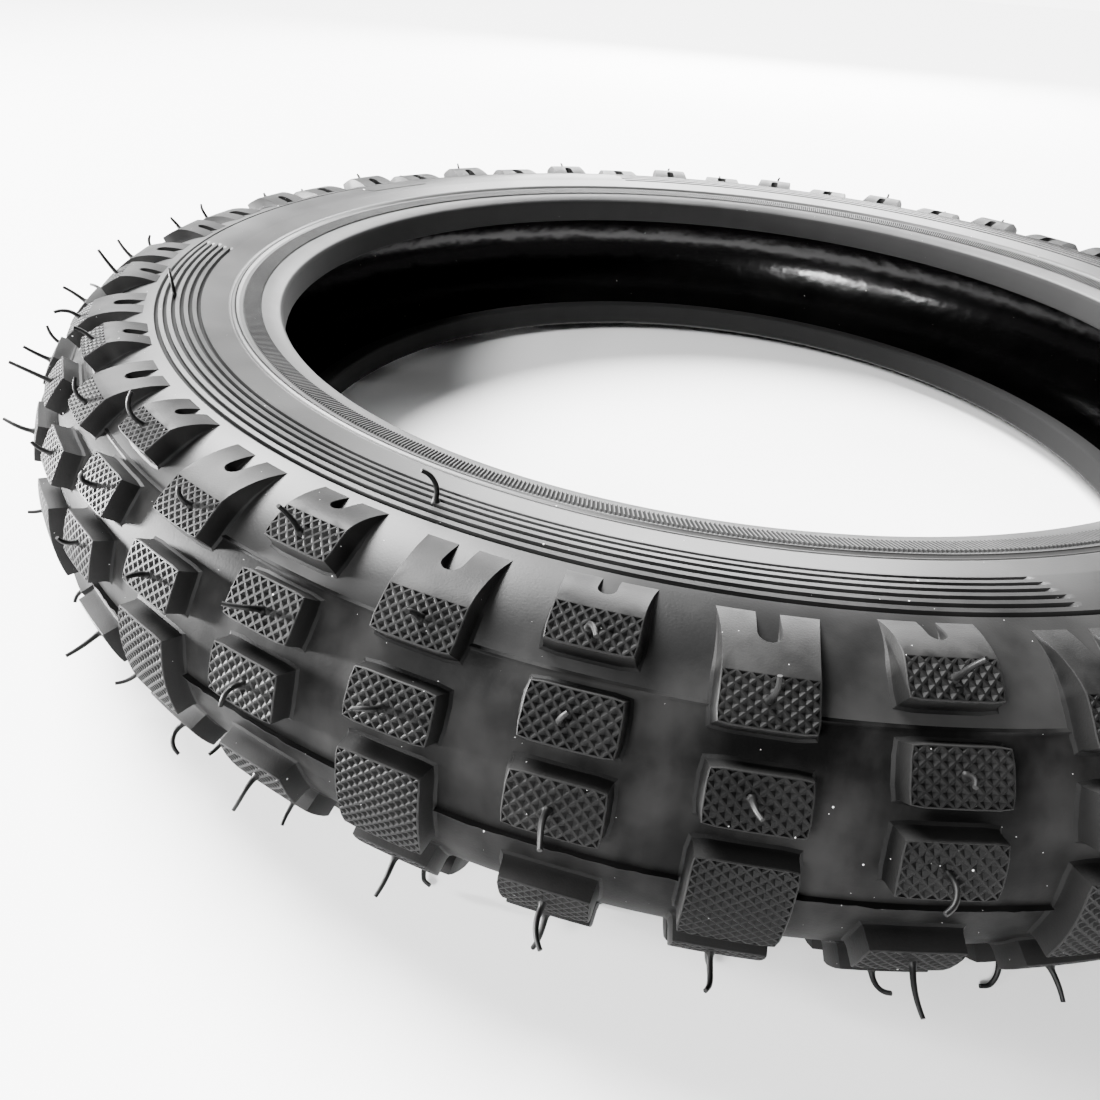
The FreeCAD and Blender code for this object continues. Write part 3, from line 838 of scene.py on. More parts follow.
@dataclass(frozen=True)
class Tread(Assembly):
    """The smooth base of the tread, its knobs, and the fin that the mould's joint left."""

    shape: KnobShape = KnobShape()
    fin: Fin = Fin()
    line_crest: float = 0.525 * MM
    line_foot: float = 1.05 * MM
    line_height: float = 0.22 * MM
    skin_steps: int = 64
    casing_steps: int = 24
    centre_row: KnobRow = KnobRow("centre_blocks", -14.0, 14.0, Column.BLOCK)
    rows: tuple[KnobRow, ...] = (
        KnobRow("inner_knobs", 10.0, 24.5, Column.PAIRED),
        KnobRow("middle_knobs", 32.0, 45.3, Column.PAIRED),
        KnobRow("shoulder_knobs", 55.0, 65.2, Column.PAIRED, Buttress(79.5, 1.16, 3.0 * MM, 0.38)),
        KnobRow("flank_knobs", 22.2, 35.3, Column.BLOCK),
        KnobRow("edge_knobs", 44.8, 57.0, Column.BLOCK, Buttress(77.5, 1.22, 3.8 * MM, 0.42)),
    )

    def build(self) -> None:
        """Build every piece of the tread."""
        self.build_base()
        self.build_fin()
        self.repeat(self.centre_row, Side.UPPER, self.centre_row.name)
        for side in Side:
            for row in self.rows:
                self.repeat(row, side, side.name_of(row.name))

    def build_base(self) -> None:
        """The base: smooth rubber with a fine raised line at each joint of the mould's rings."""
        section = self.section
        edge = math.radians(section.tread_edge)
        lifts = {-edge + 2 * edge * step / self.skin_steps: 0.0 for step in range(self.skin_steps + 1)}
        for sign in (-1, 1):
            lifts[sign * (edge - self.line_crest / section.skin)] = self.line_height
            lifts[sign * (edge - self.line_foot / section.skin)] = 0.0
        outside = [section.round(section.skin + lifts[angle], angle) for angle in sorted(lifts)]
        inside = arc(section.casing, edge, -edge, self.casing_steps, section.round)
        bm = spin_outline(outside + inside, TURN_STEPS)
        put_on_side(bm, section, Side.UPPER)
        self.workshop.piece(bm, "tread_skin", self.finishes.base, "tread_rubber", ["tread_base"],
                            crisp=50.0)

    def build_fin(self) -> None:
        """The thin, torn fin on the mid-plane between each centre block and the next."""
        section, fin = self.section, self.fin
        rim = section.centre + section.skin
        outline = [(rim - fin.half_root, -fin.half_root), (rim + fin.height, fin.lean - fin.half_tip),
                   (rim + fin.height, fin.lean + fin.half_tip), (rim - fin.half_root, fin.half_root)]
        gap = PITCH - math.radians(self.shape.width_angle + fin.end_gap)
        whole = bmesh.new()
        for number in range(COLUMNS):
            part = spin_outline(outline, fin.steps, gap, number * PITCH - gap / 2)
            for vert in part.verts:
                reach = math.hypot(vert.co.x, vert.co.y)
                if reach > rim:
                    torn = fin.torn(vert.co)
                    move_radially(vert, (reach + torn * fin.height) / reach, torn * fin.lean)
            add_mesh(whole, part)
        put_on_side(whole, section, Side.UPPER)
        self.workshop.piece(whole, "parting_fin", self.finishes.tread, "tread_rubber",
                            ["parting_flash"], crisp=40.0)

    def repeat(self, row: KnobRow, side: Side, node: str) -> None:
        """Set a row's knob round the tyre.

        Args:
            row: the row of knobs.
            side: the side of the tyre that it is on.
            node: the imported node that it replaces.
        """
        section = self.section
        middle_angle = math.radians((row.low + row.high) / 2)
        reach = section.centre + section.crown * math.cos(middle_angle)
        plan = self.plan_of_knob(row, reach)
        pattern = bpy.data.meshes.new("knob_plan")
        plan.to_mesh(pattern)
        plan.free()
        whole = bmesh.new()
        for number in range(COLUMNS):
            first = len(whole.verts)
            whole.from_mesh(pattern)
            whole.verts.ensure_lookup_table()
            azimuth = (number + row.column.value) * PITCH
            for vert in whole.verts[first:]:
                place = section.round(section.skin + vert.co.z, vert.co.y / section.crown)
                vert.co = section.turned(place, azimuth + vert.co.x / reach, side)
        bpy.data.meshes.remove(pattern)
        bmesh.ops.recalc_face_normals(whole, faces=whole.faces[:])
        self.workshop.piece(whole, node + "_knurled", self.finishes.tread, "tread_rubber", [node],
                            crisp=24.0)

    def plan_of_knob(self, row: KnobRow, reach: float) -> bmesh.types.BMesh:
        """One knob laid out flat: X round the tyre, Y along the crown and Z over the skin.

        Args:
            row: the row that the knob is in.
            reach: radius from the axis at the middle of the knob.

        Returns:
            The closed knob.
        """
        half = math.radians(self.shape.width_angle) / 2 * reach
        low, high = (math.radians(angle) * self.section.crown for angle in (row.low, row.high))
        bm = self.knurled_top(half, low, high)
        if row.buttress is None:
            self.round_corner(bm, half, high, -1)
        else:
            self.add_buttress(bm, row.buttress, half, high)
            bmesh.ops.remove_doubles(bm, verts=bm.verts[:], dist=0.01 * MM)
        self.add_walls(bm)
        return bm

    def cells(self, length: float) -> int:
        """The number of knurl cells along a length."""
        return max(2, round(length / self.shape.cell))

    def knurled_top(self, half: float, low: float, high: float) -> bmesh.types.BMesh:
        """A knob's top: a net of raised ridges round diamond-shaped pits.

        Args:
            half: half the knob's width.
            low: place of its lower edge along the crown.
            high: place of its upper edge along the crown.

        Returns:
            The open sheet.
        """
        bm = bmesh.new()
        # layer for the painted sheen along the knob's top edge and chamfer
        bm.verts.layers.float.new("wear")
        bm.verts.layers.float.new("smooth_foot")
        bmesh.ops.create_grid(bm, x_segments=self.cells(2 * half), y_segments=self.cells(high - low),
                              size=0.5)
        bmesh.ops.scale(bm, vec=(2 * half, high - low, 1), verts=bm.verts[:])
        bmesh.ops.translate(bm, vec=(0, (low + high) / 2, self.section.knob_height), verts=bm.verts[:])
        grid_lines = [edge for edge in bm.edges if not edge.is_boundary]
        bmesh.ops.poke(bm, faces=bm.faces[:])
        bmesh.ops.dissolve_edges(bm, edges=grid_lines, use_verts=False)
        cells = bm.faces[:]
        bmesh.ops.inset_individual(bm, faces=cells, thickness=self.shape.ridge, use_even_offset=True)
        pits = bmesh.ops.poke(bm, faces=cells)
        bmesh.ops.translate(bm, vec=(0, 0, -self.shape.pit), verts=pits["verts"])
        self.round_corner(bm, half, low, 1)
        return bm

    def round_corner(self, bm: bmesh.types.BMesh, half: float, edge: float, inward: int) -> None:
        """Pull the two corners at one edge of a knob's top in to a round.

        Args:
            bm: the open sheet.
            half: half the knob's width.
            edge: place of the edge along the crown.
            inward: the sign of the way along the crown that leads into the knob.
        """
        corner = self.shape.corner
        for vert in bm.verts:
            centre = Vector((math.copysign(half - corner, vert.co.x), edge + inward * corner, vert.co.z))
            away = vert.co - centre
            outside = abs(vert.co.x) > half - corner and away.y * inward < 0
            if outside and away.length > TINY:
                reach = max(abs(away.x), abs(away.y)) / away.length
                vert.co = centre + away * reach

    def add_buttress(self, bm: bmesh.types.BMesh, buttress: Buttress, half: float, edge: float) -> None:
        """Add the sloping sheet from a knob's upper edge to the sidewall, round its pocket.

        Args:
            bm: the knob's top.
            buttress: the buttress's sizes.
            half: half the knob's width.
            edge: place of the knob's upper edge along the crown.
        """
        across = self.cells(2 * half)
        length = math.radians(buttress.root) * self.section.crown - edge
        pocket = buttress.pocket_width / 2
        tip = buttress.pocket_tip * length + pocket
        sides = buttress.side_steps
        total = 2 * sides + across

        def outer(step: float) -> Vector:
            """A place on the outside of the sheet, from one foot along the knob to the other."""
            if sides <= step <= sides + across:
                return Vector((half - 2 * half * (step - sides) / across, 0.0, 0.0))
            share = 1 - min(step, total - step) / sides
            width = half * (1 + (buttress.flare - 1) * share ** buttress.flare_power)
            return Vector((width if step < sides else -width, share * length, 0.0))

        def inner(step: float) -> Vector:
            """The matching place on the rim of the pocket."""
            if sides <= step <= sides + across:
                turn = math.pi * (step - sides) / across
                return Vector((pocket * math.cos(turn), tip - pocket * math.sin(turn), 0.0))
            share = 1 - min(step, total - step) / sides
            return Vector((pocket if step < sides else -pocket, tip + share * (length - tip), 0.0))

        smooth = bm.verts.layers.float["smooth_foot"]
        made = bmesh.ops.create_grid(bm, x_segments=total, y_segments=buttress.across_steps, size=0.5)
        for vert in made["verts"]:
            vert[smooth] = 1.0
            step, share = (vert.co.x + 0.5) * total, vert.co.y + 0.5
            place = outer(round(step)).lerp(inner(round(step)), share)
            fall = min(1.0, place.y / length) ** buttress.fall_power
            height = max(self.section.knob_height * (1 - fall), self.shape.least_height)
            vert.co = Vector((place.x, edge + place.y, height))

    def add_walls(self, bm: bmesh.types.BMesh) -> None:
        """Close a knob below its top: a small chamfer, drafted walls, a rounded foot and an underside.

        Args:
            bm: the knob's open top.
        """
        shape, full = self.shape, self.section.knob_height
        lightened = bm.verts.layers.float["wear"]
        rim = [edge for edge in bm.edges if edge.is_boundary]
        ways = ways_out(rim)
        # painted sheen: the knob's top edge gets a lighter colour
        for vert in ways:
            vert[lightened] = shape.rim_wear
        steps = {vert: (vert.co.copy(), way) for vert, way in ways.items()}
        levels = [*shape.wall_steps(), (shape.chamfer + shape.draft + shape.foot, None)]
        for number, (out, share) in enumerate(levels):
            made = bmesh.ops.extrude_edge_only(bm, edges=rim)["geom"]
            following = {}
            for vert in (item for item in made if isinstance(item, bmesh.types.BMVert)):
                top, way = next(steps[near] for near in (edge.other_vert(vert) for edge in vert.link_edges)
                                if near in steps)
                height = -shape.sink if share is None else top.z * share
                vert.co = Vector((top.x, top.y, 0)) + way * out * (top.z / full) ** shape.draft_power
                vert.co.z = height
                # the chamfer ring gets the full painted sheen, the lower walls none
                vert[lightened] = 1.0 if number == 0 else 0.0
                following[vert] = (top, way)
            steps = following
            rim = [edge for edge in bm.edges if edge.is_boundary]
        bmesh.ops.holes_fill(bm, edges=rim, sides=0)
        bmesh.ops.recalc_face_normals(bm, faces=bm.faces[:])


# ---------------------------------------------------------------------------------------------
# Sidewalls and beads
# ---------------------------------------------------------------------------------------------


@dataclass(frozen=True)
class Grooves:
    """The fine grooves of a sidewall: the outermost runs all round, the rest over two sectors."""

    count: int = 6
    outermost: float = 155.6 * MM
    pitch: float = 1.9 * MM
    width: float = 1.0 * MM
    depth: float = 0.8 * MM
    sector: float = 101.6
    middle: float = 236.3
    slant: float = 0.55
    corners: tuple[float, ...] = (-0.5, -0.36, 0.36, 0.5)
    clear_share: float = 0.75
    floor_share: float = 0.43

    def radius(self, number: float) -> float:
        """Radius of a groove, counted from the outermost."""
        return self.outermost - number * self.pitch

    def is_cut(self, number: int, azimuth: float) -> bool:
        """Whether a groove is cut at an azimuth in degrees."""
        if number == 0:
            return True
        away = (azimuth - self.middle + 90.0) % 180.0 - 90.0
        return abs(away) < self.sector / 2 + self.slant * (2 - number) / 2


@dataclass(frozen=True)
class BeadRibs:
    """Fine ribs on the bead face, whose ends are runs from the heel, with their slant in ribs per metre."""

    pitch: float = 0.8 * MM
    inner: float = 1.5 * MM
    outer: float = 6.3 * MM
    ramp: float = 0.4 * MM
    height: float = 0.42 * MM
    sunk: float = 0.1 * MM
    floor: float = 0.07 * MM
    slant: float = 0.35 / MM
    steps: int = 4


@dataclass(frozen=True)
class WearMark:
    """A small raised triangle outline that points at a wear bar, four times round the tyre."""

    angle: float = 78.0
    reach: float = 2.3 * MM
    height: float = 0.3 * MM
    line: float = 0.38 * MM
    hollow: float = 0.34 * MM
    draft: float = 0.12 * MM
    azimuths: tuple[float, ...] = tuple(3.25 * 360.0 / COLUMNS + 90.0 * number for number in range(4))

    def top(self) -> bmesh.types.BMesh:
        """The mark's open top, laid out flat."""
        mark = bmesh.new()
        bmesh.ops.create_circle(mark, cap_ends=True, segments=3, radius=self.reach)
        bmesh.ops.translate(mark, vec=(0, 0, self.height), verts=mark.verts[:])
        hollow = mark.faces[:]
        bmesh.ops.inset_region(mark, faces=hollow, thickness=self.line, use_even_offset=True)
        bmesh.ops.translate(mark, vec=(0, 0, -self.hollow), verts=list(hollow[0].verts))
        return mark


@dataclass(frozen=True)
class Plaque:
    """A blank raised plaque with rounded ends and a sunk field, twice round the tyre."""

    angle: float = 90.5
    length: float = 29.0 * MM
    width: float = 6.4 * MM
    height: float = 0.35 * MM
    round_share: float = 0.48
    border: float = 0.45 * MM
    hollow: float = 0.22 * MM
    draft: float = 0.1 * MM
    azimuths: tuple[float, ...] = (326.3, 146.3)

    def top(self) -> bmesh.types.BMesh:
        """The plaque's open top, laid out flat and cut so that it can follow the skin."""
        plaque = bmesh.new()
        bmesh.ops.create_grid(plaque, x_segments=1, y_segments=1, size=0.5)
        bmesh.ops.scale(plaque, vec=(self.length, self.width, 1), verts=plaque.verts[:])
        bmesh.ops.translate(plaque, vec=(0, 0, self.height), verts=plaque.verts[:])
        bmesh.ops.bevel(plaque, geom=plaque.verts[:], offset=self.width * self.round_share,
                        offset_type="OFFSET", segments=8, profile=0.5, affect="VERTICES", material=-1)
        bmesh.ops.inset_region(plaque, faces=plaque.faces[:], thickness=self.border,
                               use_even_offset=True)
        inside = max(plaque.faces, key=lambda face: face.calc_area())
        bmesh.ops.translate(plaque, vec=(0, 0, -self.hollow), verts=list(inside.verts))
        along, across = Vector((self.length / 15, 0, 0)), Vector((0, self.width / 5, 0))
        for gap, reach in ((along, 7), (across, 1)):
            for cut in range(-reach, reach + 1):
                bmesh.ops.bisect_plane(plaque, geom=plaque.verts[:] + plaque.edges[:] + plaque.faces[:],
                                       plane_co=gap * cut, plane_no=gap.normalized())
        return plaque


@dataclass(frozen=True)
class Flank(Assembly):
    """One side of the tyre: sidewall, chafer, bead ribs, wear marks and blank plaques."""

    side: Side
    grooves: Grooves = Grooves()
    ribs: BeadRibs = BeadRibs()
    wear_mark: WearMark = WearMark()
    plaque: Plaque = Plaque()
    skin_steps: int = 40
    casing_steps: int = 16
    fitting_line_radius: float = 137.6 * MM
    fitting_line: tuple[Point, ...] = ((-0.75, 0.0), (-0.35, 0.32), (0.0, 0.42), (0.35, 0.32), (0.75, 0.0),
                                       (1.25, -0.18), (1.75, 0.0))
    # the sidewall is lighter inside the innermost groove's radius, less this share of the groove pitch, by
    # this level
    light_band_share: float = 0.4
    polish_wear: float = 0.8
    shade_in_bead: float = 0.9
    chafer_roundings: tuple[float, ...] = (1.1 * MM, 1.3 * MM, 0.9 * MM, 1.6 * MM)
    mark_depth: float = 0.4 * MM

    def build(self) -> None:
        """Build every piece of the side."""
        self.build_sidewall()
        self.build_chafer()
        self.build_bead_ribs()
        self.build_marks(self.wear_mark, "wear_triangles", "wear_marks")
        self.build_marks(self.plaque, "blank_plaques", "plaque")

    def groove_runs(self) -> list[float]:
        """Where the grooves' middles are, as runs from the heel."""
        grooves = self.grooves
        return [self.section.run_at_radius(grooves.radius(number)) for number in range(grooves.count)]

    def build_sidewall(self) -> None:
        """The sidewall, from the tread's edge to its raised fitting line above the bead."""
        section, grooves = self.section, self.grooves
        edge_run = section.run_at_angle(section.tread_edge)
        start = section.chafer_run
        steps = self.skin_steps
        lifts = {round(start + (edge_run - start) * step / steps, 7): 0.0 for step in range(steps + 1)}
        for middle in self.groove_runs():
            for run in [run for run in lifts if abs(run - middle) < grooves.width * grooves.clear_share]:
                del lifts[run]
            for share in grooves.corners:
                lifts[middle + share * grooves.width] = 0.0
        line_run = section.run_at_radius(self.fitting_line_radius)
        for away, lift in self.fitting_line:
            lifts[line_run + away * MM] = lift * MM
        outside = [section.flank(run, lifts[run]) for run in sorted(lifts, reverse=True)]
        inside = [section.on_face(start, -section.face_gauge * 3, section.heel)]
        inside += arc(section.casing, section.face_angle, math.radians(section.tread_edge),
                      self.casing_steps, section.round)
        bm = spin_outline(outside + inside, 2 * TURN_STEPS)
        self.sink_grooves(bm)
        put_on_side(bm, section, self.side)
        self.workshop.piece(bm, self.side.name_of("sidewall_skin"), self.finishes.sidewall,
                            "sidewall_rubber", [self.side.name_of("sidewall")], crisp=40.0)

    def sink_grooves(self, bm: bmesh.types.BMesh) -> None:
        """Push the bottoms of the grooves in where they are cut, and paint shade on them; also make the
        sidewall below the grooves lighter.

        Args:
            bm: the turned sidewall, with heights over the mid-plane.
        """
        section, grooves = self.section, self.grooves
        # layers for the painted shade on groove floors and for the lighter band below the grooves
        sunk = bm.verts.layers.float.new("sunk")
        lightened = bm.verts.layers.float.new("wear")
        light_band_radius = grooves.radius(grooves.count - self.light_band_share)
        floors = [section.flank(run) for run in self.groove_runs()]
        for vert in bm.verts:
            reach = math.hypot(vert.co.x, vert.co.y)
            # lighter colour on the sidewall below the grooves
            vert[lightened] = self.polish_wear if reach < light_band_radius and vert.co.z > 0 else 0.0
            azimuth = math.degrees(math.atan2(vert.co.y, vert.co.x)) * self.side.value
            for number, (radius, height) in enumerate(floors):
                near = math.hypot(reach - radius, vert.co.z - height) <= grooves.floor_share * grooves.width
                if near and grooves.is_cut(number, azimuth):
                    inward = Vector((section.centre - reach, -vert.co.z)).normalized() * grooves.depth
                    # painted shade on the cut groove's floor
                    vert[sunk] = 1.0
                    move_radially(vert, (reach + inward.x) / reach, inward.y)

    def build_chafer(self) -> None:
        """The chafer round the bead: face, rounded heel, seat and toe, up to the liner."""
        section = self.section
        wrap = section.bead_core + section.plies
        toe = section.bead[1] - wrap - section.bead_gauge
        seat_top = section.heel[1] - section.heel_drop
        back = section.wrap_angle - math.pi
        corners = [section.flank(section.chafer_run), section.heel, (section.seat_radius, seat_top),
                   (section.seat_radius, toe), (section.bead[0], toe),
                   section.by_bead(wrap + section.liner, back), section.by_bead(wrap, back),
                   section.by_bead(wrap, math.pi), section.by_bead(wrap, section.face_angle)]
        bm = bmesh.new()
        verts = [bm.verts.new((radius, 0.0, height)) for radius, height in corners]
        for index in range(len(verts)):
            bm.edges.new((verts[index - 1], verts[index]))
        for corner, radius in zip(verts[1:5], self.chafer_roundings):
            bmesh.ops.bevel(bm, geom=[corner], offset=radius, offset_type="OFFSET", segments=4,
                            profile=0.5, affect="VERTICES", material=-1)
        bm = turn_by_sectors(bm, TURN_STEPS)
        # painted shade on the seat, the toe and the back of the bead
        shade_layer = bm.verts.layers.float.new("sunk")
        for vert in bm.verts:
            vert[shade_layer] = self.shade_in_bead if vert.co.z < seat_top else 0.0
        put_on_side(bm, section, self.side)
        self.workshop.piece(bm, self.side.name_of("chafer_strip"), self.finishes.chafer,
                            "chafer_rubber", [self.side.name_of("chafer")], crisp=50.0)

    def build_bead_ribs(self) -> None:
        """Fine slanted ribs on the bead face, which grip the rim's flange."""
        section, ribs = self.section, self.ribs
        count = round(math.tau * section.heel[0] / ribs.pitch / SECTORS) * SECTORS
        outline = [section.flank(ribs.inner, -ribs.sunk), section.flank(ribs.inner + ribs.ramp, ribs.height),
                   section.flank(ribs.outer - ribs.ramp, ribs.height), section.flank(ribs.outer, -ribs.sunk)]
        bm = spin_outline(outline, count * ribs.steps)
        tooth = math.tau / count
        down = Vector((-math.cos(section.face_angle), -math.sin(section.face_angle)))
        down *= ribs.height - ribs.floor
        # painted shade on the lowered slits between the ribs
        shade_layer = bm.verts.layers.float.new("sunk")
        for vert in bm.verts:
            reach = math.hypot(vert.co.x, vert.co.y)
            azimuth = math.atan2(vert.co.y, vert.co.x)
            level = vert.co.z - section.flank((reach - section.heel[0]) / math.sin(section.face_angle))[1]
            if level > 0 and round(azimuth / tooth * ribs.steps) % ribs.steps >= ribs.steps / 2:
                reach += down.x
                vert.co.z += down.y
                vert[shade_layer] = 1.0
            azimuth += tooth * ribs.slant * (reach - section.heel[0])
            vert.co.x, vert.co.y = reach * math.cos(azimuth), reach * math.sin(azimuth)
        put_on_side(bm, section, self.side)
        self.workshop.piece(bm, self.side.name_of("bead_ribs"), self.finishes.chafer, "chafer_rubber",
                            (), crisp=15.0)

    def build_marks(self, mark: WearMark | Plaque, name: str, node: str) -> None:
        """Build the raised marks of one kind.

        Args:
            mark: the mark's sizes and places.
            name: the piece's name, without its side.
            node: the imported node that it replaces, without its side.
        """
        section = self.section
        run = section.run_at_angle(mark.angle)
        reach = section.flank(run)[0]
        whole = bmesh.new()
        for azimuth in mark.azimuths:
            bm = mark.top()
            close_below(bm, self.mark_depth, mark.draft)
            for vert in bm.verts:
                turn = math.radians(azimuth) + vert.co.x / reach
                vert.co = section.turned(section.flank(run + vert.co.y, vert.co.z), turn, self.side)
            bmesh.ops.recalc_face_normals(bm, faces=bm.faces[:])
            add_mesh(whole, bm)
        self.workshop.piece(whole, self.side.name_of(name), self.finishes.sidewall, "sidewall_rubber",
                            [self.side.name_of(node)], crisp=30.0)


@dataclass(frozen=True)
class Interior(Assembly):
    """The glossy inner liner, from bead to bead."""

    inner_steps: int = 56
    outer_steps: int = 40

    def build(self) -> None:
        """Build the liner as one closed film."""
        section = self.section
        outer = section.casing - section.plies
        wrap = section.bead_core + section.plies
        turn = section.wrap_angle
        bead_side = [section.by_bead(reach, turn - math.pi) for reach in (wrap + section.liner, wrap)]
        outline = arc(outer - section.liner, -turn, turn, self.inner_steps, section.round)
        outline += bead_side
        outline += arc(outer, turn, -turn, self.outer_steps, section.round)
        outline += [(radius, -height) for radius, height in reversed(bead_side)]
        bm = spin_outline(outline, TURN_STEPS)
        put_on_side(bm, section, Side.UPPER)
        self.workshop.piece(bm, "liner_film", self.finishes.liner, "liner_rubber", ["inner_liner"],
                            crisp=50.0)


# ---------------------------------------------------------------------------------------------
# Vent hairs
# ---------------------------------------------------------------------------------------------


@dataclass(frozen=True)
class VentHairs(Assembly):
    """Thin bent hairs of rubber that the mould's vent holes left on the knobs.

    A stray hair is given by its azimuth and its section angle in degrees, and its length. Widths are
    shares of the radius, and angles of a bend are in radians.
    """

    rows: tuple[KnobRow, ...]
    radius: float = 0.47 * MM
    root_depth: float = 0.4 * MM
    root_height: float = 0.45 * MM
    root_widths: tuple[float, ...] = (1.9, 1.7, 1.15)
    width: float = 1.05
    taper: float = 0.3
    steps: int = 6
    floor_clearance: float = 1.0 * MM
    sway: float = 1.2 / 180.0
    place_share: Point = (0.42, 0.6)
    pressed_length: Point = (0.6 * MM, 1.0 * MM)
    torn_length: Point = (1.0 * MM, 2.6 * MM)
    free_length: tuple[float, float, float] = (2.8 * MM, 8.5 * MM, 5.5 * MM)
    torn_from: float = 0.25
    curl: Point = (0.15, 1.9)
    twist: float = 0.35
    lean: float = 0.25
    stray: tuple[tuple[float, float, float], ...] = ((-110.5, 92.5, 6.5 * MM), (-157.0, 90.0, 6.0 * MM))
    draws: random.Random = field(default_factory=lambda: random.Random(22))

    def build(self) -> None:
        """Build the hairs of each kind of column on each side."""
        for side in Side:
            for column in Column:
                self.build_group(side, column)

    def build_group(self, side: Side, column: Column) -> None:
        """Build the hairs of one kind of column on one side.

        Args:
            side: the side of the tyre.
            column: the kind of column.
        """
        name = side.name_of(f"vent_hairs_{column.name.lower()}")
        curve = bpy.data.curves.new(name, "CURVE")
        curve.dimensions = "3D"
        curve.bevel_depth = self.radius
        curve.bevel_resolution = 1
        curve.resolution_u = 3
        curve.use_fill_caps = True
        for row in (row for row in self.rows if row.column is column):
            for number in range(COLUMNS):
                azimuth = (number + column.value) * PITCH + self.draws.uniform(-self.sway, self.sway)
                angle = math.radians(row.low + (row.high - row.low) * self.draws.uniform(*self.place_share))
                length = self.draw_length(side, row, azimuth)
                self.add_hair(curve, side, azimuth, angle, length, self.section.crown)
        if side is Side.UPPER and column is Column.BLOCK:
            for azimuth, angle, length in self.stray:
                self.add_hair(curve, side, math.radians(azimuth), math.radians(angle), length,
                              self.section.skin)
        holder = bpy.data.objects.new(name, curve)
        bpy.context.scene.collection.objects.link(holder)
        bpy.context.view_layer.update()
        seen = holder.evaluated_get(bpy.context.evaluated_depsgraph_get())
        mesh = bpy.data.meshes.new_from_object(seen)
        bpy.data.objects.remove(holder)
        bpy.data.curves.remove(curve)
        mesh.name = name
        mesh.polygons.foreach_set("use_smooth", [True] * len(mesh.polygons))
        self.workshop.dress(mesh, name + "_bent", self.finishes.hair, "tread_rubber", [name])

    def draw_length(self, side: Side, row: KnobRow, azimuth: float) -> float:
        """Draw a hair's length: those that the floor presses and those on the far side are torn short.

        Args:
            side: the side of the tyre.
            row: the row of knobs that the hair is on.
            azimuth: direction of its root in radians.

        Returns:
            The length in metres.
        """
        if side is Side.LOWER and row.name == "shoulder_knobs":
            return self.draws.uniform(*self.pressed_length)
        if math.sin(azimuth) > self.torn_from:
            return self.draws.uniform(*self.torn_length)
        return self.draws.triangular(*self.free_length)

    def add_hair(self, curve: bpy.types.Curve, side: Side, azimuth: float, angle: float, length: float,
                 level: float) -> None:
        """Add one bent hair.

        Args:
            curve: the curve that collects the hairs.
            side: the side of the tyre.
            azimuth: direction of its root in radians.
            angle: section angle of its root in radians.
            length: its length.
            level: section radius that it stands on.
        """
        section = self.section
        root = section.turned(section.round(level, angle), azimuth, side)
        beyond = section.turned(section.round(level + length, angle), azimuth, side)
        out = (beyond - root).normalized()
        around = Vector((-math.sin(azimuth), math.cos(azimuth), 0.0))
        bend = Matrix.Rotation(self.draws.uniform(0, math.tau), 3, out) @ around
        turn = Matrix.Rotation(self.draws.uniform(*self.curl) / self.steps, 3, bend)
        twist = Matrix.Rotation(self.draws.uniform(-self.twist, self.twist), 3, out)
        way = Matrix.Rotation(self.draws.uniform(-self.lean, self.lean), 3, bend) @ out
        points = [root - out * self.root_depth, root, root + out * self.root_height]
        widths = list(self.root_widths)
        for step in range(self.steps):
            points.append(points[-1] + way * length / self.steps)
            way = turn @ twist @ way
            widths.append(self.width - self.taper * step / self.steps)
        spline = curve.splines.new("NURBS")
        spline.points.add(len(points) - 1)
        for point, at, width in zip(spline.points, points, widths):
            point.co = (at.x, at.y, max(at.z, self.floor_clearance), 1.0)
            point.radius = width
        spline.order_u = 3
        spline.use_endpoint_u = True


# ---------------------------------------------------------------------------------------------
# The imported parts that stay, and the studio
# ---------------------------------------------------------------------------------------------


def dress_hidden_parts(finishes: Finishes) -> None:
    """Give the cords, wires and rubber inside the casing their own materials."""
    by_start = {"carcass_ply": finishes.cord, "breaker_strip": finishes.cord, "bead_wires": finishes.wire,
                "bead_insulation": finishes.bead, "bead_filler": finishes.bead}
    for name, thing in frame["nodes"].items():
        for start, material in by_start.items():
            if name.startswith(start):
                for holder in thing.material_slots:
                    holder.material = material
                LOG.info("%s keeps its shape, with %s", name, material.name)


@dataclass(frozen=True)
class Softbox:
    """A square studio light that looks at the tyre."""

    name: str
    place: tuple[float, float, float]
    size: float
    watts: float
    aim: tuple[float, float, float] = (0.0, 0.0, 0.03)

    def light(self) -> None:
        """Put the light in the scene."""
        lamp = bpy.data.lights.new(self.name, "AREA")
        lamp.size = self.size
        lamp.energy = self.watts
        stand = link_new(self.name, lamp)
        stand.location = self.place
        stand.rotation_euler = (Vector(self.aim) - Vector(self.place)).to_track_quat("-Z", "Y").to_euler()


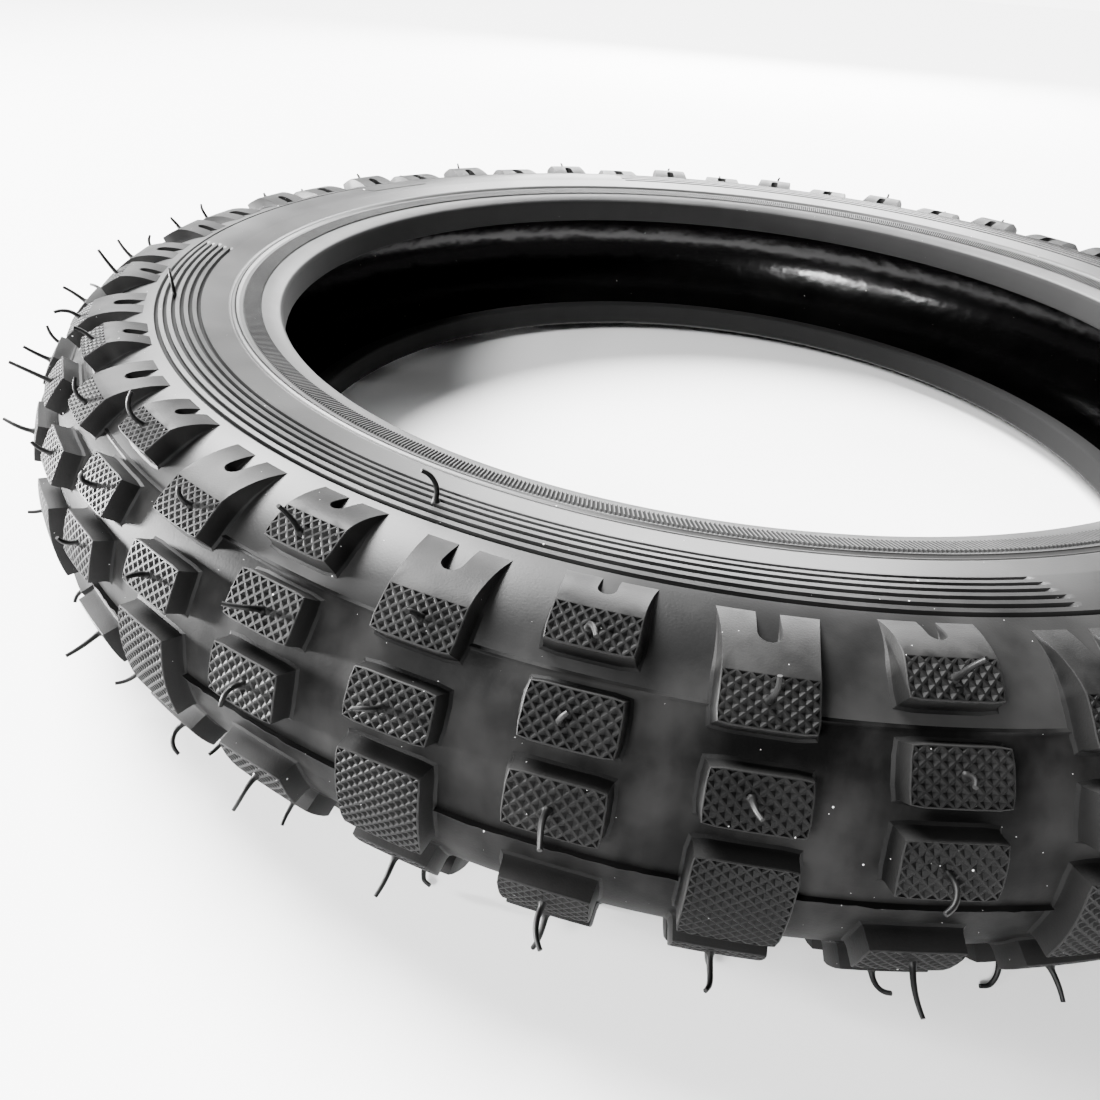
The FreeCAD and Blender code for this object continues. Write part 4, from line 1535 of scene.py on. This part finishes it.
@dataclass(frozen=True)
class Viewpoint:
    """The camera: its stand beside the tyre, and how it is turned, in metres and degrees."""

    azimuth: float = -94.67
    distance: float = 263.3 * MM
    height: float = 104.6 * MM
    yaw: float = -5.65
    pitch: float = 33.48
    roll: float = 4.47
    lens: float = 28.92
    sensor: float = 36.0
    clip_start: float = 1 * MM

    def stand(self, section: Section) -> None:
        """Put the camera in the scene.

        Args:
            section: the tyre's section, whose mid-plane the height is measured from.
        """
        yaw, pitch, roll = (math.radians(angle) for angle in (self.yaw, self.pitch, self.roll))
        ahead = Vector((math.sin(yaw) * math.cos(pitch), math.cos(yaw) * math.cos(pitch), -math.sin(pitch)))
        right = Vector((math.cos(yaw), -math.sin(yaw), 0.0))
        up = right.cross(ahead)
        tilted_right = math.cos(roll) * right + math.sin(roll) * up
        tilted_up = math.cos(roll) * up - math.sin(roll) * right
        turn = Matrix((tilted_right, tilted_up, -ahead)).transposed().to_4x4()
        azimuth = math.radians(self.azimuth)
        place = Vector((self.distance * math.cos(azimuth), self.distance * math.sin(azimuth),
                        section.middle + self.height))
        camera = bpy.data.cameras.new("camera")
        camera.sensor_width = self.sensor
        camera.lens = self.lens
        camera.clip_start = self.clip_start
        holder = link_new("camera", camera)
        holder.matrix_world = Matrix.Translation(place) @ turn
        bpy.context.scene.camera = holder


@dataclass(frozen=True)
class Studio:
    """A pale floor, soft light and the camera."""

    lights: tuple[Softbox, ...] = (
        Softbox("back_light", (0.1, 1.6, 0.8), 0.9, 90.0),
        Softbox("side_light", (-1.5, 0.0, 0.10), 0.18, 300.0),
        Softbox("window_light", (-0.66, -1.24, 0.80), 0.30, 55.0),
        Softbox("low_window_light", (-1.12, -0.98, 0.78), 0.14, 8.0),
    )
    sun_way: tuple[float, float, float] = (-0.62, 0.62, 0.95)
    sun_level: float = 30.0
    sun_angle: float = 34.0
    sky_level: float = 0.25
    seen_sky_level: float = 6.5
    floor_size: float = 40.0
    floor_cells: int = 8

    def build(self, section: Section) -> None:
        """Put floor, lights, sky and camera in the scene.

        Args:
            section: the tyre's section, which the camera's height is measured from.
        """
        bm = bmesh.new()
        bmesh.ops.create_grid(bm, x_segments=self.floor_cells, y_segments=self.floor_cells,
                              size=self.floor_size)
        mesh = bpy.data.meshes.new("floor")
        bm.to_mesh(mesh)
        bm.free()
        mesh.materials.append(FloorFinish().paint())
        link_new("floor", mesh)
        for light in self.lights:
            light.light()
        self.light_floor()
        self.light_sky()
        Viewpoint().stand(section)

    def light_floor(self) -> None:
        """Put up the broad, even light that whitens the floor from behind on the left."""
        lamp = bpy.data.lights.new("broad_light", "SUN")
        lamp.energy = self.sun_level
        lamp.angle = math.radians(self.sun_angle)
        stand = link_new("broad_light", lamp)
        stand.rotation_euler = Vector(self.sun_way).to_track_quat("Z", "Y").to_euler()

    def light_sky(self) -> None:
        """Make the surroundings white to look at, and weak as a light."""
        world = bpy.data.worlds.new("studio")
        world.use_nodes = True
        tree = world.node_tree
        sky = tree.nodes["Background"]
        sky.inputs["Color"].default_value = (1.0, 1.0, 1.0, 1.0)
        seen = tree.nodes.new("ShaderNodeLightPath").outputs["Is Camera Ray"]
        level = tree.nodes.new("ShaderNodeMapRange")
        level.inputs["To Min"].default_value = self.sky_level
        level.inputs["To Max"].default_value = self.seen_sky_level
        tree.links.new(seen, level.inputs["Value"])
        tree.links.new(level.outputs["Result"], sky.inputs["Strength"])
        bpy.context.scene.world = world


def main() -> None:
    """Build the tyre's looks and the studio, in order."""
    logging.basicConfig(level=logging.INFO, format="%(name)s: %(message)s")
    section = Section.from_parts()
    finishes = Finishes()
    workshop = Workshop()
    Studio().build(section)
    shared = (section, finishes, workshop)
    tread = Tread(*shared)
    tread.build()
    for side in Side:
        Flank(*shared, side).build()
    Interior(*shared).build()
    VentHairs(*shared, tread.rows).build()
    dress_hidden_parts(finishes)
    LOG.info("%d triangles in new pieces", workshop.triangles)


if __name__ == "__main__":
    main()
